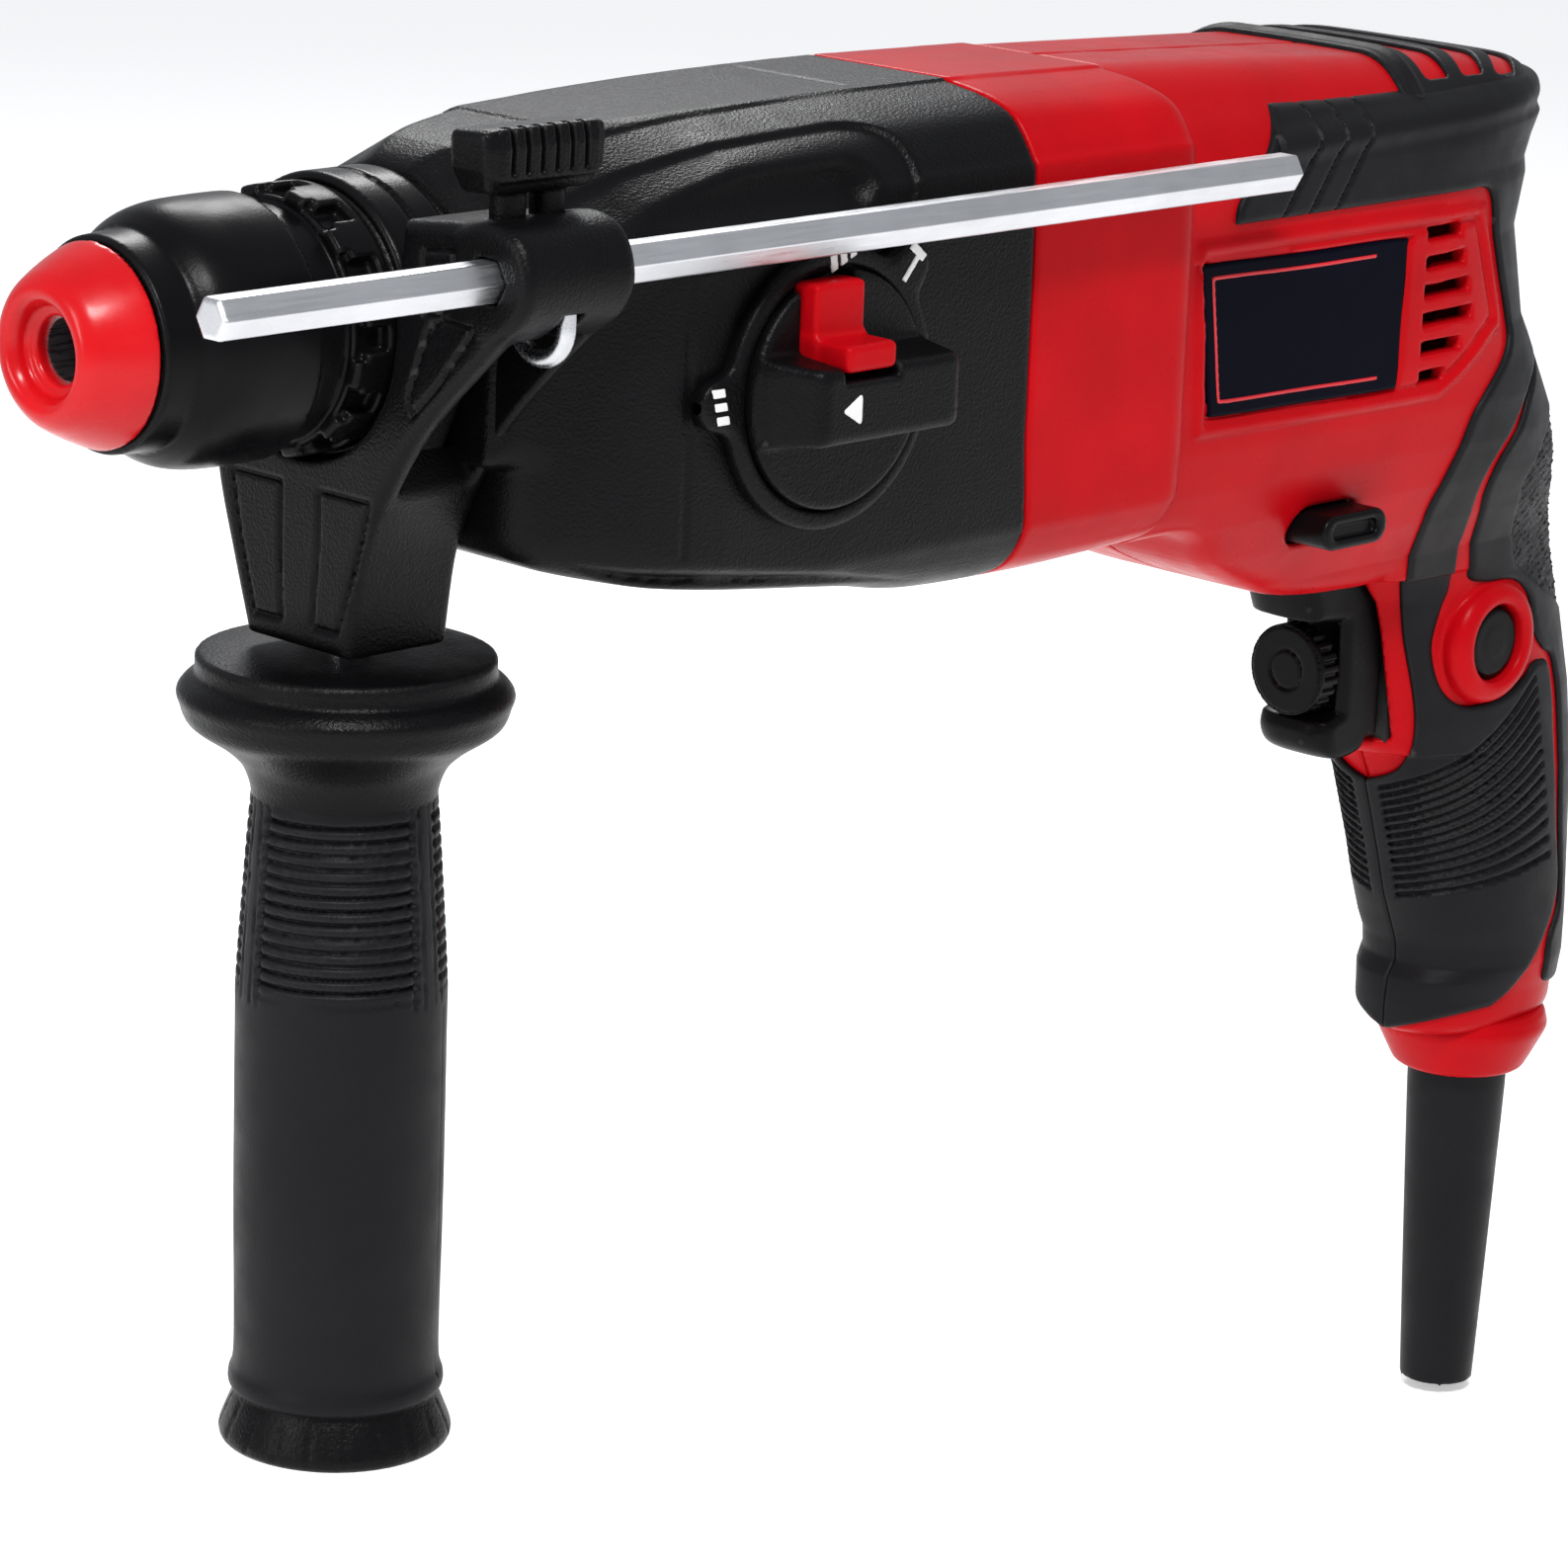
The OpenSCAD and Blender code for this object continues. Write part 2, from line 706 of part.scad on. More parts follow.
module selector_bezel() {
    color("#1d1e20") difference() {
        union() {
            selector_disc(-case_w - 0.02, -case_w - 2.2, 23.7);
            for (a = [180, 42]) translate([selector_x + 25 * cos(a), 0, selector_z + 25 * sin(a)])
                side_extrude(-case_w - 2.2, -case_w - 0.02) circle(r = 4.6);
        }
        selector_disc(-case_w + 1, -case_w - 4, selector_r + gap);
    }
}

module selector_knob() {
    color("#1d1e20") difference() {
        union() {
            selector_disc(-case_w - gap, -case_w - 4, selector_r);
            selector_disc(-case_w + 4, -case_w - 1, 7.6);
            side_extrude(-case_w - 15, -case_w - 3) translate([selector_x, selector_z]) knob_outline();
        }
        block([selector_x - lock_l / 2 - 4, -case_w - 20, selector_z + 3.6],
            [selector_x + lock_l / 2 - 3, -case_w - 0.6, selector_z + 30]);
    }
}

// The knob's bar, pointing at the chosen mode
module knob_outline() {
    polygon([[-20, -5.6], [-18, -7.4], [17, -7], [19, -5.4], [19, 5.4], [17, 7], [-18, 7.4], [-20, 5.6]]);
}

module selector_cam() {
    color("silver") {
        selector_disc(-case_w + 7.4, -case_w + 4, 10);
        translate([5.5, 0, 0]) selector_disc(-case_w + 14, -case_w + 7.3, 3);
    }
}

module selector_lock() {
    color("crimson") {
        translate([selector_x - 3.5, 0, selector_z]) {
            block([-lock_l / 2, -case_w - 7, 5.2], [lock_l / 2, -case_w - 0.8, 17.8]);
            block([-lock_l / 2, -case_w - 14.6, 5.2], [lock_l / 2, -case_w - 6.9, 10]);
        }
    }
}

// ---- Controls ----

module switch_body() {
    color("#303134") difference() {
        block([326, -9.2, -114], [351.6, 9.2, -73]);
        block([325, -4.3, -106.3], [342, 4.3, -81.7]);
    }
}

module trigger() {
    color("#242527") difference() {
        union() {
            side_extrude(-9, 9) polygon([[304.5, -74], [304, -88], [304, -107.4], [311, -109], [312.5, -115.6],
                [317.8, -117.6], [319.4, -117.6], [319.4, -74]]);
            block([319, -4, -106], [334, 4, -82]);
        }
        // Recess for the dial
        bar_x(303, 310.6, dial_r + gap, 0, dial_z);
        block([303, -9.5, dial_z - dial_r - gap], [310.6, 9.5, dial_z + dial_r + gap]);
        bar_x(310, 316, 2.05, 0, dial_z);
        bar_x(326, 335, 3.5, 0, -94);
    }
}

module speed_dial() {
    knurls = 24;
    color("#1b1c1e") {
        difference() {
            bar_x(304.4, 310.3, dial_r, 0, dial_z);
            for (k = [0 : knurls - 1])
                translate([0, 0, dial_z]) rotate([360 * k / knurls, 0, 0])
                    translate([304, 0, dial_r + 0.4]) rotate([0, 90, 0]) cylinder(h = 7, r = 0.9, $fn = 8);
        }
        bar_x(310.2, 315.6, 2, 0, dial_z);
    }
}

module trigger_spring() {
    color("silver") translate([326.6, 0, -94]) rotate([0, 90, 0]) coil(2.6, 0.4, 14.8, 6, 6);
}

module lock_on_button() {
    color("#1b1c1e") translate([lock_on_x, -12.6, lock_on_z]) rotate([90, 0, 0])
        cylinder(h = 7.8, r = lock_on_r);
}

module direction_bar() {
    color("#1b1c1e") side_extrude(-36, 27.5) translate([direction_x, direction_z]) difference() {
        stadium(18.5, 7);
        stadium(8, 1.6);
    }
}

module cord_collar() {
    color("crimson") translate([cord_x, 0, -191]) rotate_extrude()
        polygon([[10.6, 0], [13.2, 0], [14.2, 1], [18.4, 9], [18.4, 10.7], [10.6, 10.7]]);
}

module cord_sleeve() {
    color("#18191b") translate([cord_x, 0, cord_end_z]) rotate_extrude()
        polygon([[cord_r, 0], [6.4, 0], [7, 0.6], [10.1, -191 - cord_end_z], [10.1, -180.4 - cord_end_z],
            [cord_r, -180.4 - cord_end_z]]);
}

// ---- Side handle ----

module clamp_band() {
    color("#1d1e20") difference() {
        ring_x(53, 66.2, 23, neck_r + slip);
        block([50, -7, -30], [72, 7, -10]);
    }
}

// Front view of the bracket, in [y, z]
module bracket_outline() {
    polygon([[-24.3, 19.3], [-48, 21.2], [-52.5, 18], [-53.6, 12.7], [-52, 8], [-31, -12.3], [-22, -24],
        [-14.5, -37], [-12.4, -54.6], [12.4, -54.6], [20.6, -28.7], [22.5, -14], [0, 0], [-22, 0]]);
}

module handle_bracket() {
    hole_y = 5.7;
    color("#222326") difference() {
        union() {
            front_extrude(bracket_x, bracket_x + bracket_l) bracket_outline();
            bar_x(bracket_x, bracket_x + bracket_l, 8.6, rod_y, rod_z);
        }
        bar_x(bracket_x - 1, bracket_x + bracket_l + 1, 23.4);
        bar_x(66.2, bracket_x + bracket_l + 1, bell_r + 0.4);
        // Window between the front and rear webs of the strut
        front_extrude(bracket_x + 3.4, bracket_x + bracket_l - 3.4)
            polygon([[-25, 17.4], [-35.4, 17.4], [-36, 8], [-41, 2.6], [-54, 2.6], [-22, -29], [-17.4, -20], [-24, -6]]);
        // Hexagonal way for the depth rod
        translate([bracket_x - 1, rod_y, rod_z]) rotate([0, 90, 0]) rotate([0, 0, 30])
            cylinder(h = bracket_l + 2, d = (rod_af + 2 * gap) / cos(30), $fn = 6);
        block([handle_x - 2.2, rod_y - 7.9, -6], [handle_x + 2.2, rod_y + 7.9, 7]);
        block([handle_x - 6.1, -6.1, -26.8], [handle_x + 6.1, 6.1, -20]);
        for (s = [-1, 1]) translate([handle_x, rod_y + s * hole_y, -4]) {
            cylinder(h = 30, r = 2.1);
            translate([0, 0, 21.4]) cylinder(h = 8, r = 2.8);
        }
        // Bolt hole in the foot
        translate([handle_x, 0, -56]) cylinder(h = 36, r = 4.3);
    }
}

module clamp_bolt() {
    color("silver") translate([handle_x, 0, 0]) {
        translate([0, 0, -96]) cylinder(h = 71, r = 4);
        translate([-5.7, -5.7, -26]) cube([11.4, 11.4, 2.4]);
    }
}

module side_handle_core() {
    color("#1b1c1e") translate([handle_x, 0, 0]) rotate_extrude()
        polygon([[4.3, -56.1], [10, -56.1], [18, -56.3], [24.7, -57.2], [24.7, -60], [26, -60.6], [flange_r, -63.8],
            [26.8, -66], [26.4, -68.8], [19.4, -73.4], [15.4, -79.6], [12.4, -79.6], [12.4, -184],
            [16.6, -184], [17, -186.4], [19.8, foot_z + 2], [19.2, foot_z], [0, foot_z], [0, -98], [4.3, -98]]);
}

module side_handle_grip() {
    grooves = 12;
    color("#222326") translate([handle_x, 0, 0]) difference() {
        rotate_extrude() polygon([[12.45, -79.8], [15.6, -79.8], [16.6, -92], [grip_r - 0.2, -110], [grip_r, -135],
            [grip_r, -160], [17.2, -183.8], [12.45, -183.8]]);
        for (k = [0 : grooves - 1]) rotate_extrude()
            translate([18.4 - 0.11 * (grooves - k), -107 + 2.4 * k]) circle(r = 1, $fn = 16);
    }
}

module depth_rod() {
    color("silver") translate([-6.4, rod_y, rod_z]) rotate([0, 90, 0]) rotate([0, 0, 30])
        cylinder(h = rod_l, d = rod_af / cos(30), $fn = 6);
}

module depth_button() {
    color("#222326") {
        difference() {
            front_extrude(48, 73.4) offset(r = 1.5) offset(r = -1.5)
                polygon([[-53, 25.6], [-36.8, 25.6], [-36.4, 35], [-45, 36.6], [-53, 30]]);
            for (k = [0 : 5]) block([51.4 + 3.6 * k, -60, 31], [52.8 + 3.6 * k, -45.4, 40]);
        }
        for (s = [-1, 1]) translate([handle_x, rod_y + s * 5.7, 21.3]) cylinder(h = 4.5, r = 2.5);
    }
}

module depth_stirrup() {
    leg = 5.7;
    color("silver") {
        for (s = [-1, 1]) translate([handle_x, rod_y + s * leg, 5]) cylinder(h = 16.2, r = 1.5);
        translate([handle_x, rod_y, 5]) rotate([90, 0, 90]) intersection() {
            rotate_extrude() translate([leg, 0]) circle(r = 1.5);
            translate([-10, -10, -5]) cube([20, 10.05, 10]);
        }
    }
}

nose_cap();
chuck_sleeve();
ball_retainer();
sleeve_spring();
locking_balls();
chuck_ring();
spindle();
spindle_gear();
spindle_bearing();
gearbox_housing();
inner_flange();
housing_screws();
countershaft();
countershaft_gear();
countershaft_bearings();
wobble_hub();
wobble_ring();
trunnion_pin();
piston();
striker();
striker_seal();
beat_piece();
armature_shaft();
armature_core();
commutator();
cooling_fan();
motor_bearings();
stator_core();
field_coils();
brush_holders();
carbon_brushes();
motor_housing();
handle_shell_left();
handle_shell_right();
rear_rubber_left();
rear_rubber_right();
grip_pad_left();
grip_pad_right();
vent_cover();
label_panels();
selector_bezel();
selector_knob();
selector_cam();
selector_lock();
switch_body();
trigger();
trigger_spring();
speed_dial();
lock_on_button();
direction_bar();
cord_collar();
cord_sleeve();
clamp_band();
handle_bracket();
clamp_bolt();
side_handle_core();
side_handle_grip();
depth_rod();
depth_button();
depth_stirrup();
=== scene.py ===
"""The looks of a corded rotary hammer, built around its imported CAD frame. Working units are millimetres."""
import json
import math

import bpy
import numpy as np
from mathutils import Matrix, Vector


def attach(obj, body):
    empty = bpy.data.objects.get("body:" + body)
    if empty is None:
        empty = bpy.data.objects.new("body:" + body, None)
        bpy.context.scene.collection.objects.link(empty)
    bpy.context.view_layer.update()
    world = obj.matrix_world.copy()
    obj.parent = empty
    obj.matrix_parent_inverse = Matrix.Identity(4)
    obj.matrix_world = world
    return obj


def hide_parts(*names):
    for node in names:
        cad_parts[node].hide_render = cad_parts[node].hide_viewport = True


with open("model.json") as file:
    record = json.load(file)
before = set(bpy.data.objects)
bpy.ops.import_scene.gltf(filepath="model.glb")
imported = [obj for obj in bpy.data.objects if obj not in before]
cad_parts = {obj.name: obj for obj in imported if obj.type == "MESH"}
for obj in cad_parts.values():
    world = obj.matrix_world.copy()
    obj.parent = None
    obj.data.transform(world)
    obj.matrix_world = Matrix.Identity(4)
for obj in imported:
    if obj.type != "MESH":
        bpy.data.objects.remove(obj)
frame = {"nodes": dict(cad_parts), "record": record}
SCALE = 0.001
STEP = 1.0

# ---------------------------------------------------------------- implicit modelling


def smooth_line(points, closed=True, steps=6):
    """Catmull-Rom curve through the points. A point with a third value of 1 is a sharp corner."""
    flat = [p[:2] for p in points]
    sharp = [len(p) > 2 and p[2] for p in points]
    n = len(points)
    out = []
    for i in range(n if closed else n - 1):
        a, b = np.array(flat[i], float), np.array(flat[(i + 1) % n], float)
        before = a if sharp[i] or (not closed and i == 0) else np.array(flat[i - 1], float)
        last = sharp[(i + 1) % n] or (not closed and i == n - 2)
        after = b if last else np.array(flat[(i + 2) % n], float)
        for t in np.arange(steps) / steps:
            m0, m1 = (b - before) / 2, (after - a) / 2
            out.append((2 * t**3 - 3 * t**2 + 1) * a + (t**3 - 2 * t**2 + t) * m0
                       + (3 * t**2 - 2 * t**3) * b + (t**3 - t**2) * m1)
    if not closed:
        out.append(np.array(flat[-1], float))
    return np.array(out)


class Outline:
    """Signed distance to a closed 2D outline, negative inside, read from a fine table."""

    CELL = 0.5

    def __init__(self, points, smooth=False, margin=25.0, closed=True):
        line = smooth_line(points, closed) if smooth else np.array([p[:2] for p in points], float)
        self.low = line.min(0) - margin
        size = np.ceil((line.max(0) + margin - self.low) / self.CELL).astype(int) + 1
        a = self.low[0] + self.CELL * np.arange(size[0])[:, None]
        b = self.low[1] + self.CELL * np.arange(size[1])[None, :]
        best = np.full((size[0], size[1]), 1e9, np.float32)
        inside = np.zeros(best.shape, bool)
        count = len(line) if closed else len(line) - 1
        for i in range(count):
            p, q = line[i], line[(i + 1) % len(line)]
            d = q - p
            t = np.clip(((a - p[0]) * d[0] + (b - p[1]) * d[1]) / max(d @ d, 1e-9), 0, 1)
            best = np.minimum(best, (a - p[0] - t * d[0]) ** 2 + (b - p[1] - t * d[1]) ** 2)
            if closed and p[1] != q[1]:
                cross = (p[1] > b) != (q[1] > b)
                inside ^= cross & (a < d[0] * (b - p[1]) / d[1] + p[0])
        best = np.sqrt(best)
        self.table = np.where(inside, -best, best).astype(np.float32)

    def __call__(self, a, b):
        u = np.clip((a - self.low[0]) / self.CELL, 0, self.table.shape[0] - 1.001)
        v = np.clip((b - self.low[1]) / self.CELL, 0, self.table.shape[1] - 1.001)
        i, j = u.astype(int), v.astype(int)
        s, t = u - i, v - j
        g = self.table
        return ((1 - s) * ((1 - t) * g[i, j] + t * g[i, j + 1])
                + s * ((1 - t) * g[i + 1, j] + t * g[i + 1, j + 1]))


def smax(a, b, k):
    """Greater of two fields, with the edge between them rounded over about k."""
    h = np.maximum(k - np.abs(a - b), 0) / k
    return np.maximum(a, b) + h * h * k / 4


def smin(a, b, k):
    return -smax(-a, -b, k)


def both(*fields, k=0.6):
    out = fields[0]
    for f in fields[1:]:
        out = smax(out, f, k)
    return out


def less(a, b, k=0.6):
    return smax(a, -b, k)


def slab(v, low, high):
    return np.maximum(low - v, v - high)


def rod(a, b, r, ca=0.0, cb=0.0):
    return np.sqrt((a - ca) ** 2 + (b - cb) ** 2) - r


def brick(x, y, z, low, high, k=0.8):
    return both(slab(x, low[0], high[0]), slab(y, low[1], high[1]), slab(z, low[2], high[2]), k=k)


CORNERS = np.array([(i, j, k) for i in (0, 1) for j in (0, 1) for k in (0, 1)])
EDGES = [(a, b) for a in range(8) for b in range(a + 1, 8) if abs(CORNERS[a] - CORNERS[b]).sum() == 1]


def surface(field, low, high, step):
    """Surface of field = 0 as vertices and quads, by surface nets, then pulled onto the exact surface."""
    low = np.array(low, float)
    n = np.ceil((np.array(high) - low) / step).astype(int) + 1
    x = (low[0] + step * np.arange(n[0]))[:, None, None]
    y = (low[1] + step * np.arange(n[1]))[None, :, None]
    z = (low[2] + step * np.arange(n[2]))[None, None, :]
    f = np.empty(n, np.float32)
    f[...] = field(x, y, z)
    inside = f < 0
    total = np.zeros(n - 1, np.int8)
    for c in CORNERS:
        total += inside[tuple(slice(c[d], c[d] + n[d] - 1) for d in range(3))]
    cells = np.argwhere((total > 0) & (total < 8))
    index = np.full(n - 1, -1, np.int32)
    index[tuple(cells.T)] = np.arange(len(cells))
    values = np.stack([f[tuple((cells + c).T)] for c in CORNERS], 1)
    point = np.zeros((len(cells), 3))
    hits = np.zeros(len(cells))
    for a, b in EDGES:
        va, vb = values[:, a], values[:, b]
        crossing = (va < 0) != (vb < 0)
        t = np.where(crossing, va / np.where(crossing, va - vb, 1), 0)
        point += np.where(crossing[:, None], CORNERS[a] + t[:, None] * (CORNERS[b] - CORNERS[a]), 0)
        hits += crossing
    verts = low + step * (cells + point / hits[:, None])
    verts = settle(field, verts, step)
    quads = []
    for d in range(3):
        u, v = (d + 1) % 3, (d + 2) % 3
        cut = [slice(None)] * 3
        cut[d] = slice(0, n[d] - 1)
        nxt = list(cut)
        nxt[d] = slice(1, n[d])
        flip = inside[tuple(cut)] != inside[tuple(nxt)]
        at = np.argwhere(flip)
        at = at[(at[:, u] > 0) & (at[:, v] > 0) & (at[:, u] < n[u] - 1) & (at[:, v] < n[v] - 1)]
        out = inside[tuple(at.T)]
        ring = []
        for du, dv in ((1, 1), (0, 1), (0, 0), (1, 0)):
            c = at.copy()
            c[:, u] -= du
            c[:, v] -= dv
            ring.append(index[tuple(c.T)])
        q = np.stack(ring, 1)
        q[~out] = q[~out][:, ::-1]
        quads.append(q)
    return verts, np.concatenate(quads)


def gradient(field, p, h=0.05):
    x, y, z = p.T
    g = [field(x + h, y, z) - field(x - h, y, z), field(x, y + h, z) - field(x, y - h, z),
         field(x, y, z + h) - field(x, y, z - h)]
    return np.stack([np.broadcast_to(c, x.shape) for c in g], 1) / (2 * h)


def settle(field, p, step, rounds=2):
    for _ in range(rounds):
        f = np.broadcast_to(field(*p.T), len(p))
        g = gradient(field, p)
        move = -f[:, None] * g / np.maximum((g * g).sum(1), 0.2)[:, None]
        p = p + np.clip(move, -0.4 * step, 0.4 * step)
    return p


def mesh_object(name, verts, faces):
    mesh = bpy.data.meshes.new(name)
    mesh.vertices.add(len(verts))
    mesh.vertices.foreach_set("co", (np.asarray(verts) * SCALE).ravel())
    faces = np.asarray(faces)
    k = faces.shape[1]
    mesh.loops.add(faces.size)
    mesh.loops.foreach_set("vertex_index", faces.ravel())
    mesh.polygons.add(len(faces))
    mesh.polygons.foreach_set("loop_start", np.arange(len(faces)) * k)
    mesh.polygons.foreach_set("loop_total", np.full(len(faces), k))
    mesh.update(calc_edges=True)
    mesh.validate()
    mesh.shade_smooth()
    obj = bpy.data.objects.new(name, mesh)
    bpy.context.scene.collection.objects.link(obj)
    return obj


def carve(name, field, low, high, step, body, nodes, material):
    """A moulded piece: the surface of a field, riding on a body and standing for CAD nodes."""
    obj = mesh_object(name, *surface(field, low, high, step * STEP))
    obj.data.materials.append(material)
    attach(obj, body)
    if nodes:
        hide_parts(*nodes)
    return obj


# ---------------------------------------------------------------- materials


class Nodes:
    """Short names for adding and joining shader nodes."""

    def __init__(self, name):
        self.material = bpy.data.materials.new(name)
        self.material.use_nodes = True
        self.tree = self.material.node_tree
        self.shader = self.tree.nodes["Principled BSDF"]
        self.where = self.tree.nodes.new("ShaderNodeTexCoord").outputs["Object"]

    def add(self, kind, **values):
        node = self.tree.nodes.new(kind)
        for key, value in values.items():
            if hasattr(node, key):
                setattr(node, key, value)
            else:
                node.inputs[key.replace("_", " ")].default_value = value
        return node

    def join(self, source, target):
        self.tree.links.new(source, target)

    def noise(self, scale, detail=3.0, stretch=None):
        node = self.add("ShaderNodeTexNoise", Scale=scale, Detail=detail)
        place = self.where
        if stretch:
            mapping = self.add("ShaderNodeMapping")
            mapping.inputs["Scale"].default_value = stretch
            self.join(place, mapping.inputs["Vector"])
            place = mapping.outputs["Vector"]
        self.join(place, node.inputs["Vector"])
        return node.outputs["Fac"]

    def spread(self, source, low, high, out_low, out_high):
        node = self.add("ShaderNodeMapRange", From_Min=low, From_Max=high, To_Min=out_low, To_Max=out_high)
        self.join(source, node.inputs["Value"])
        return node.outputs["Result"]

    def tint(self, factor, a, b):
        node = self.add("ShaderNodeMix", data_type="RGBA")
        node.inputs["A"].default_value = (*a, 1)
        node.inputs["B"].default_value = (*b, 1)
        self.join(factor, node.inputs["Factor"])
        return node.outputs["Result"]


def dimmed(color, amount):
    return tuple(c * amount for c in color)


def moulded(name, color, rough, grain=0.0, size=0.5, coat=0.0, edge=0.0, shine=0.5):
    """Moulded plastic or rubber: fine grain, uneven gloss, slightly uneven colour and a painted highlight
    that makes convex edges paler.
    """
    n = Nodes(name)
    patch = n.spread(n.noise(45.0, 4.0), 0.3, 0.7, 0.0, 1.0)
    base = n.tint(patch, dimmed(color, 0.88), dimmed(color, 1.1))
    # edge is the strength of a painted highlight: convex edges, found by pointiness, get a paler colour.
    if edge:
        edge_highlight_pointiness = n.add("ShaderNodeNewGeometry").outputs["Pointiness"]
        edge_highlight_mix = n.add("ShaderNodeMix", data_type="RGBA")
        edge_highlight_mix.inputs["B"].default_value = (*[c + edge for c in color], 1)
        n.join(n.spread(edge_highlight_pointiness, 0.53, 0.62, 0.0, 1.0), edge_highlight_mix.inputs["Factor"])
        n.join(base, edge_highlight_mix.inputs["A"])
        base = edge_highlight_mix.outputs["Result"]
    n.join(base, n.shader.inputs["Base Color"])
    n.join(n.spread(n.noise(160.0, 5.0), 0.3, 0.7, rough - 0.05, rough + 0.07), n.shader.inputs["Roughness"])
    n.shader.inputs["Specular IOR Level"].default_value = shine
    n.shader.inputs["Coat Weight"].default_value = coat
    n.shader.inputs["Coat Roughness"].default_value = 0.12
    if grain:
        bump = n.add("ShaderNodeBump", Strength=0.9, Distance=grain * SCALE)
        n.join(n.noise(1.0 / (size * SCALE), 2.0), bump.inputs["Height"])
        n.join(bump.outputs["Normal"], n.shader.inputs["Normal"])
    return n.material


def metal(name, color, rough, stretch=(1, 1, 1), size=0.4, depth=0.03, dark=0.75):
    """Machined metal with fine drawn lines, smudges and uneven gloss."""
    n = Nodes(name)
    lines = n.noise(1.0 / (size * SCALE), 4.0, stretch)
    smudge = n.noise(70.0, 4.0)
    shade = n.tint(n.spread(smudge, 0.35, 0.7, 0.0, 1.0), color, dimmed(color, dark))
    n.join(shade, n.shader.inputs["Base Color"])
    n.join(n.spread(lines, 0.3, 0.7, rough - 0.08, rough + 0.1), n.shader.inputs["Roughness"])
    n.shader.inputs["Metallic"].default_value = 1.0
    bump = n.add("ShaderNodeBump", Strength=0.6, Distance=depth * SCALE)
    n.join(lines, bump.inputs["Height"])
    n.join(bump.outputs["Normal"], n.shader.inputs["Normal"])
    return n.material


RED = (0.42, 0.0018, 0.005)
BLACK = (0.0028, 0.0028, 0.0032)
LOOKS = {
    "gloss_red": moulded("gloss_red", (0.46, 0.003, 0.006), 0.26, 0.01, 0.8, coat=0.06, shine=0.2),
    "shell_red": moulded("shell_red", RED, 0.3, 0.03, 0.45, shine=0.06),
    # edge sets the painted highlight on the convex edges of these blacks.
    "satin_black": moulded("satin_black", BLACK, 0.28, 0.03, 0.4, edge=0.012, shine=0.08),
    "grained_black": moulded("grained_black", BLACK, 0.34, 0.16, 0.55, edge=0.02, shine=0.1),
    "rubber_black": moulded("rubber_black", (0.006, 0.006, 0.007), 0.46, 0.06, 0.35, edge=0.02, shine=0.11),
    "steel": metal("steel", (0.62, 0.63, 0.65), 0.28, (0.06, 1, 1)),
    "cast_aluminium": metal("cast_aluminium", (0.56, 0.57, 0.58), 0.42, size=0.9, depth=0.08),
    "core_iron": metal("core_iron", (0.16, 0.16, 0.17), 0.45, (4, 0.3, 0.3), 0.5, 0.1),
    "copper": metal("copper", (0.72, 0.30, 0.13), 0.33, (1, 6, 6), 0.6, 0.1),
    "brass": metal("brass", (0.78, 0.56, 0.22), 0.3),
    "carbon": moulded("carbon", (0.014, 0.014, 0.014), 0.55, 0.05, 0.3),
    "label_navy": moulded("label_navy", (0.0006, 0.0008, 0.005), 0.35, 0.004, 0.6, shine=0.03),
}
WHITE_INK = moulded("white_ink", (0.78, 0.78, 0.76), 0.5, 0.01, 0.4)
RED_INK = moulded("red_ink", (0.55, 0.004, 0.012), 0.4, 0.005, 0.4)
ROD_STEEL = metal("rod_steel", (0.66, 0.67, 0.69), 0.34, (0.05, 1, 1), 0.5, 0.01, 0.88)

# ---------------------------------------------------------------- gearbox and motor casing

CASE_W = 39.4
BOUNDARY = 182.0
TUBE_END = 227.0
case_side = Outline([
    (66.5, 23.6, 1), (70, 25.6), (75, 27.6), (82, 28.6), (92, 29.4), (120, 30.4), (150, 31.2),
    (182, 31.2), (206, 30.6), (240, 29, 1), (240, -55, 1), (206, -57.4), (188, -57.8), (165, -56.8),
    (144, -52.6), (107, -47), (84, -42.4), (75, -39.4), (73, -36, 1), (72.7, -24, 1),
    (66.5, -23.6, 1)], True)
case_plan = Outline([
    (66.4, -25.6, 1), (72, -28.0), (80, -32.6), (92, -38), (106, -CASE_W - 2.4), (122, -CASE_W - 3),
    (240, -CASE_W - 3, 1), (240, CASE_W + 3, 1), (122, CASE_W + 3), (106, CASE_W + 2.4), (92, 38),
    (80, 32.6), (72, 28.0), (66.4, 25.6, 1)], True)
case_front = Outline([
    (-21, 33), (21, 33), (30, 28.6), (37.4, 20), (CASE_W, 12), (CASE_W, -38), (37.5, -48), (30, -56),
    (20, -60), (-20, -60), (-30, -56), (-37.5, -48), (-CASE_W, -38), (-CASE_W, 12), (-37.4, 20),
    (-30, 28.6)], True)
scoop = Outline([
    (79, -38.6), (92, -40.2), (112, -42.6), (134, -46.2), (152, -50.2), (163, -53.4), (150, -51.6),
    (128, -49), (106, -46.4), (90, -43.6)], True)


def raised(sd, height, edge=1.0):
    """Height of a feature inside an outline, falling to nothing over its edge."""
    t = np.clip(-sd / edge, 0, 1)
    return height * t * t * (3 - 2 * t)


def crest(x, y, z):
    """The top plate's fall towards the sides, strongest at the front."""
    half = np.interp(x, [70, 80, 95, 150], [5, 9, 13, 17])
    slope = np.interp(x, [75, 90, 115, 180], [0.55, 0.5, 0.26, 0.2])
    top = np.interp(x, [66, 70, 75, 82, 92, 120, 150, 182, 206],
                    [22.8, 24.8, 26.6, 27.6, 28.4, 29.4, 30.2, 30.4, 29.9])
    return (z - top + slope * np.maximum(np.abs(y) - half, 0)) * 0.95


def case_body(x, y, z):
    f = smax(case_side(x, z), case_front(y, z), 6)
    f = smax(f, case_plan(x, y), 6)
    f = smax(f, crest(x, y, z), 2)
    return smax(f, 66.4 - x, 2.2)


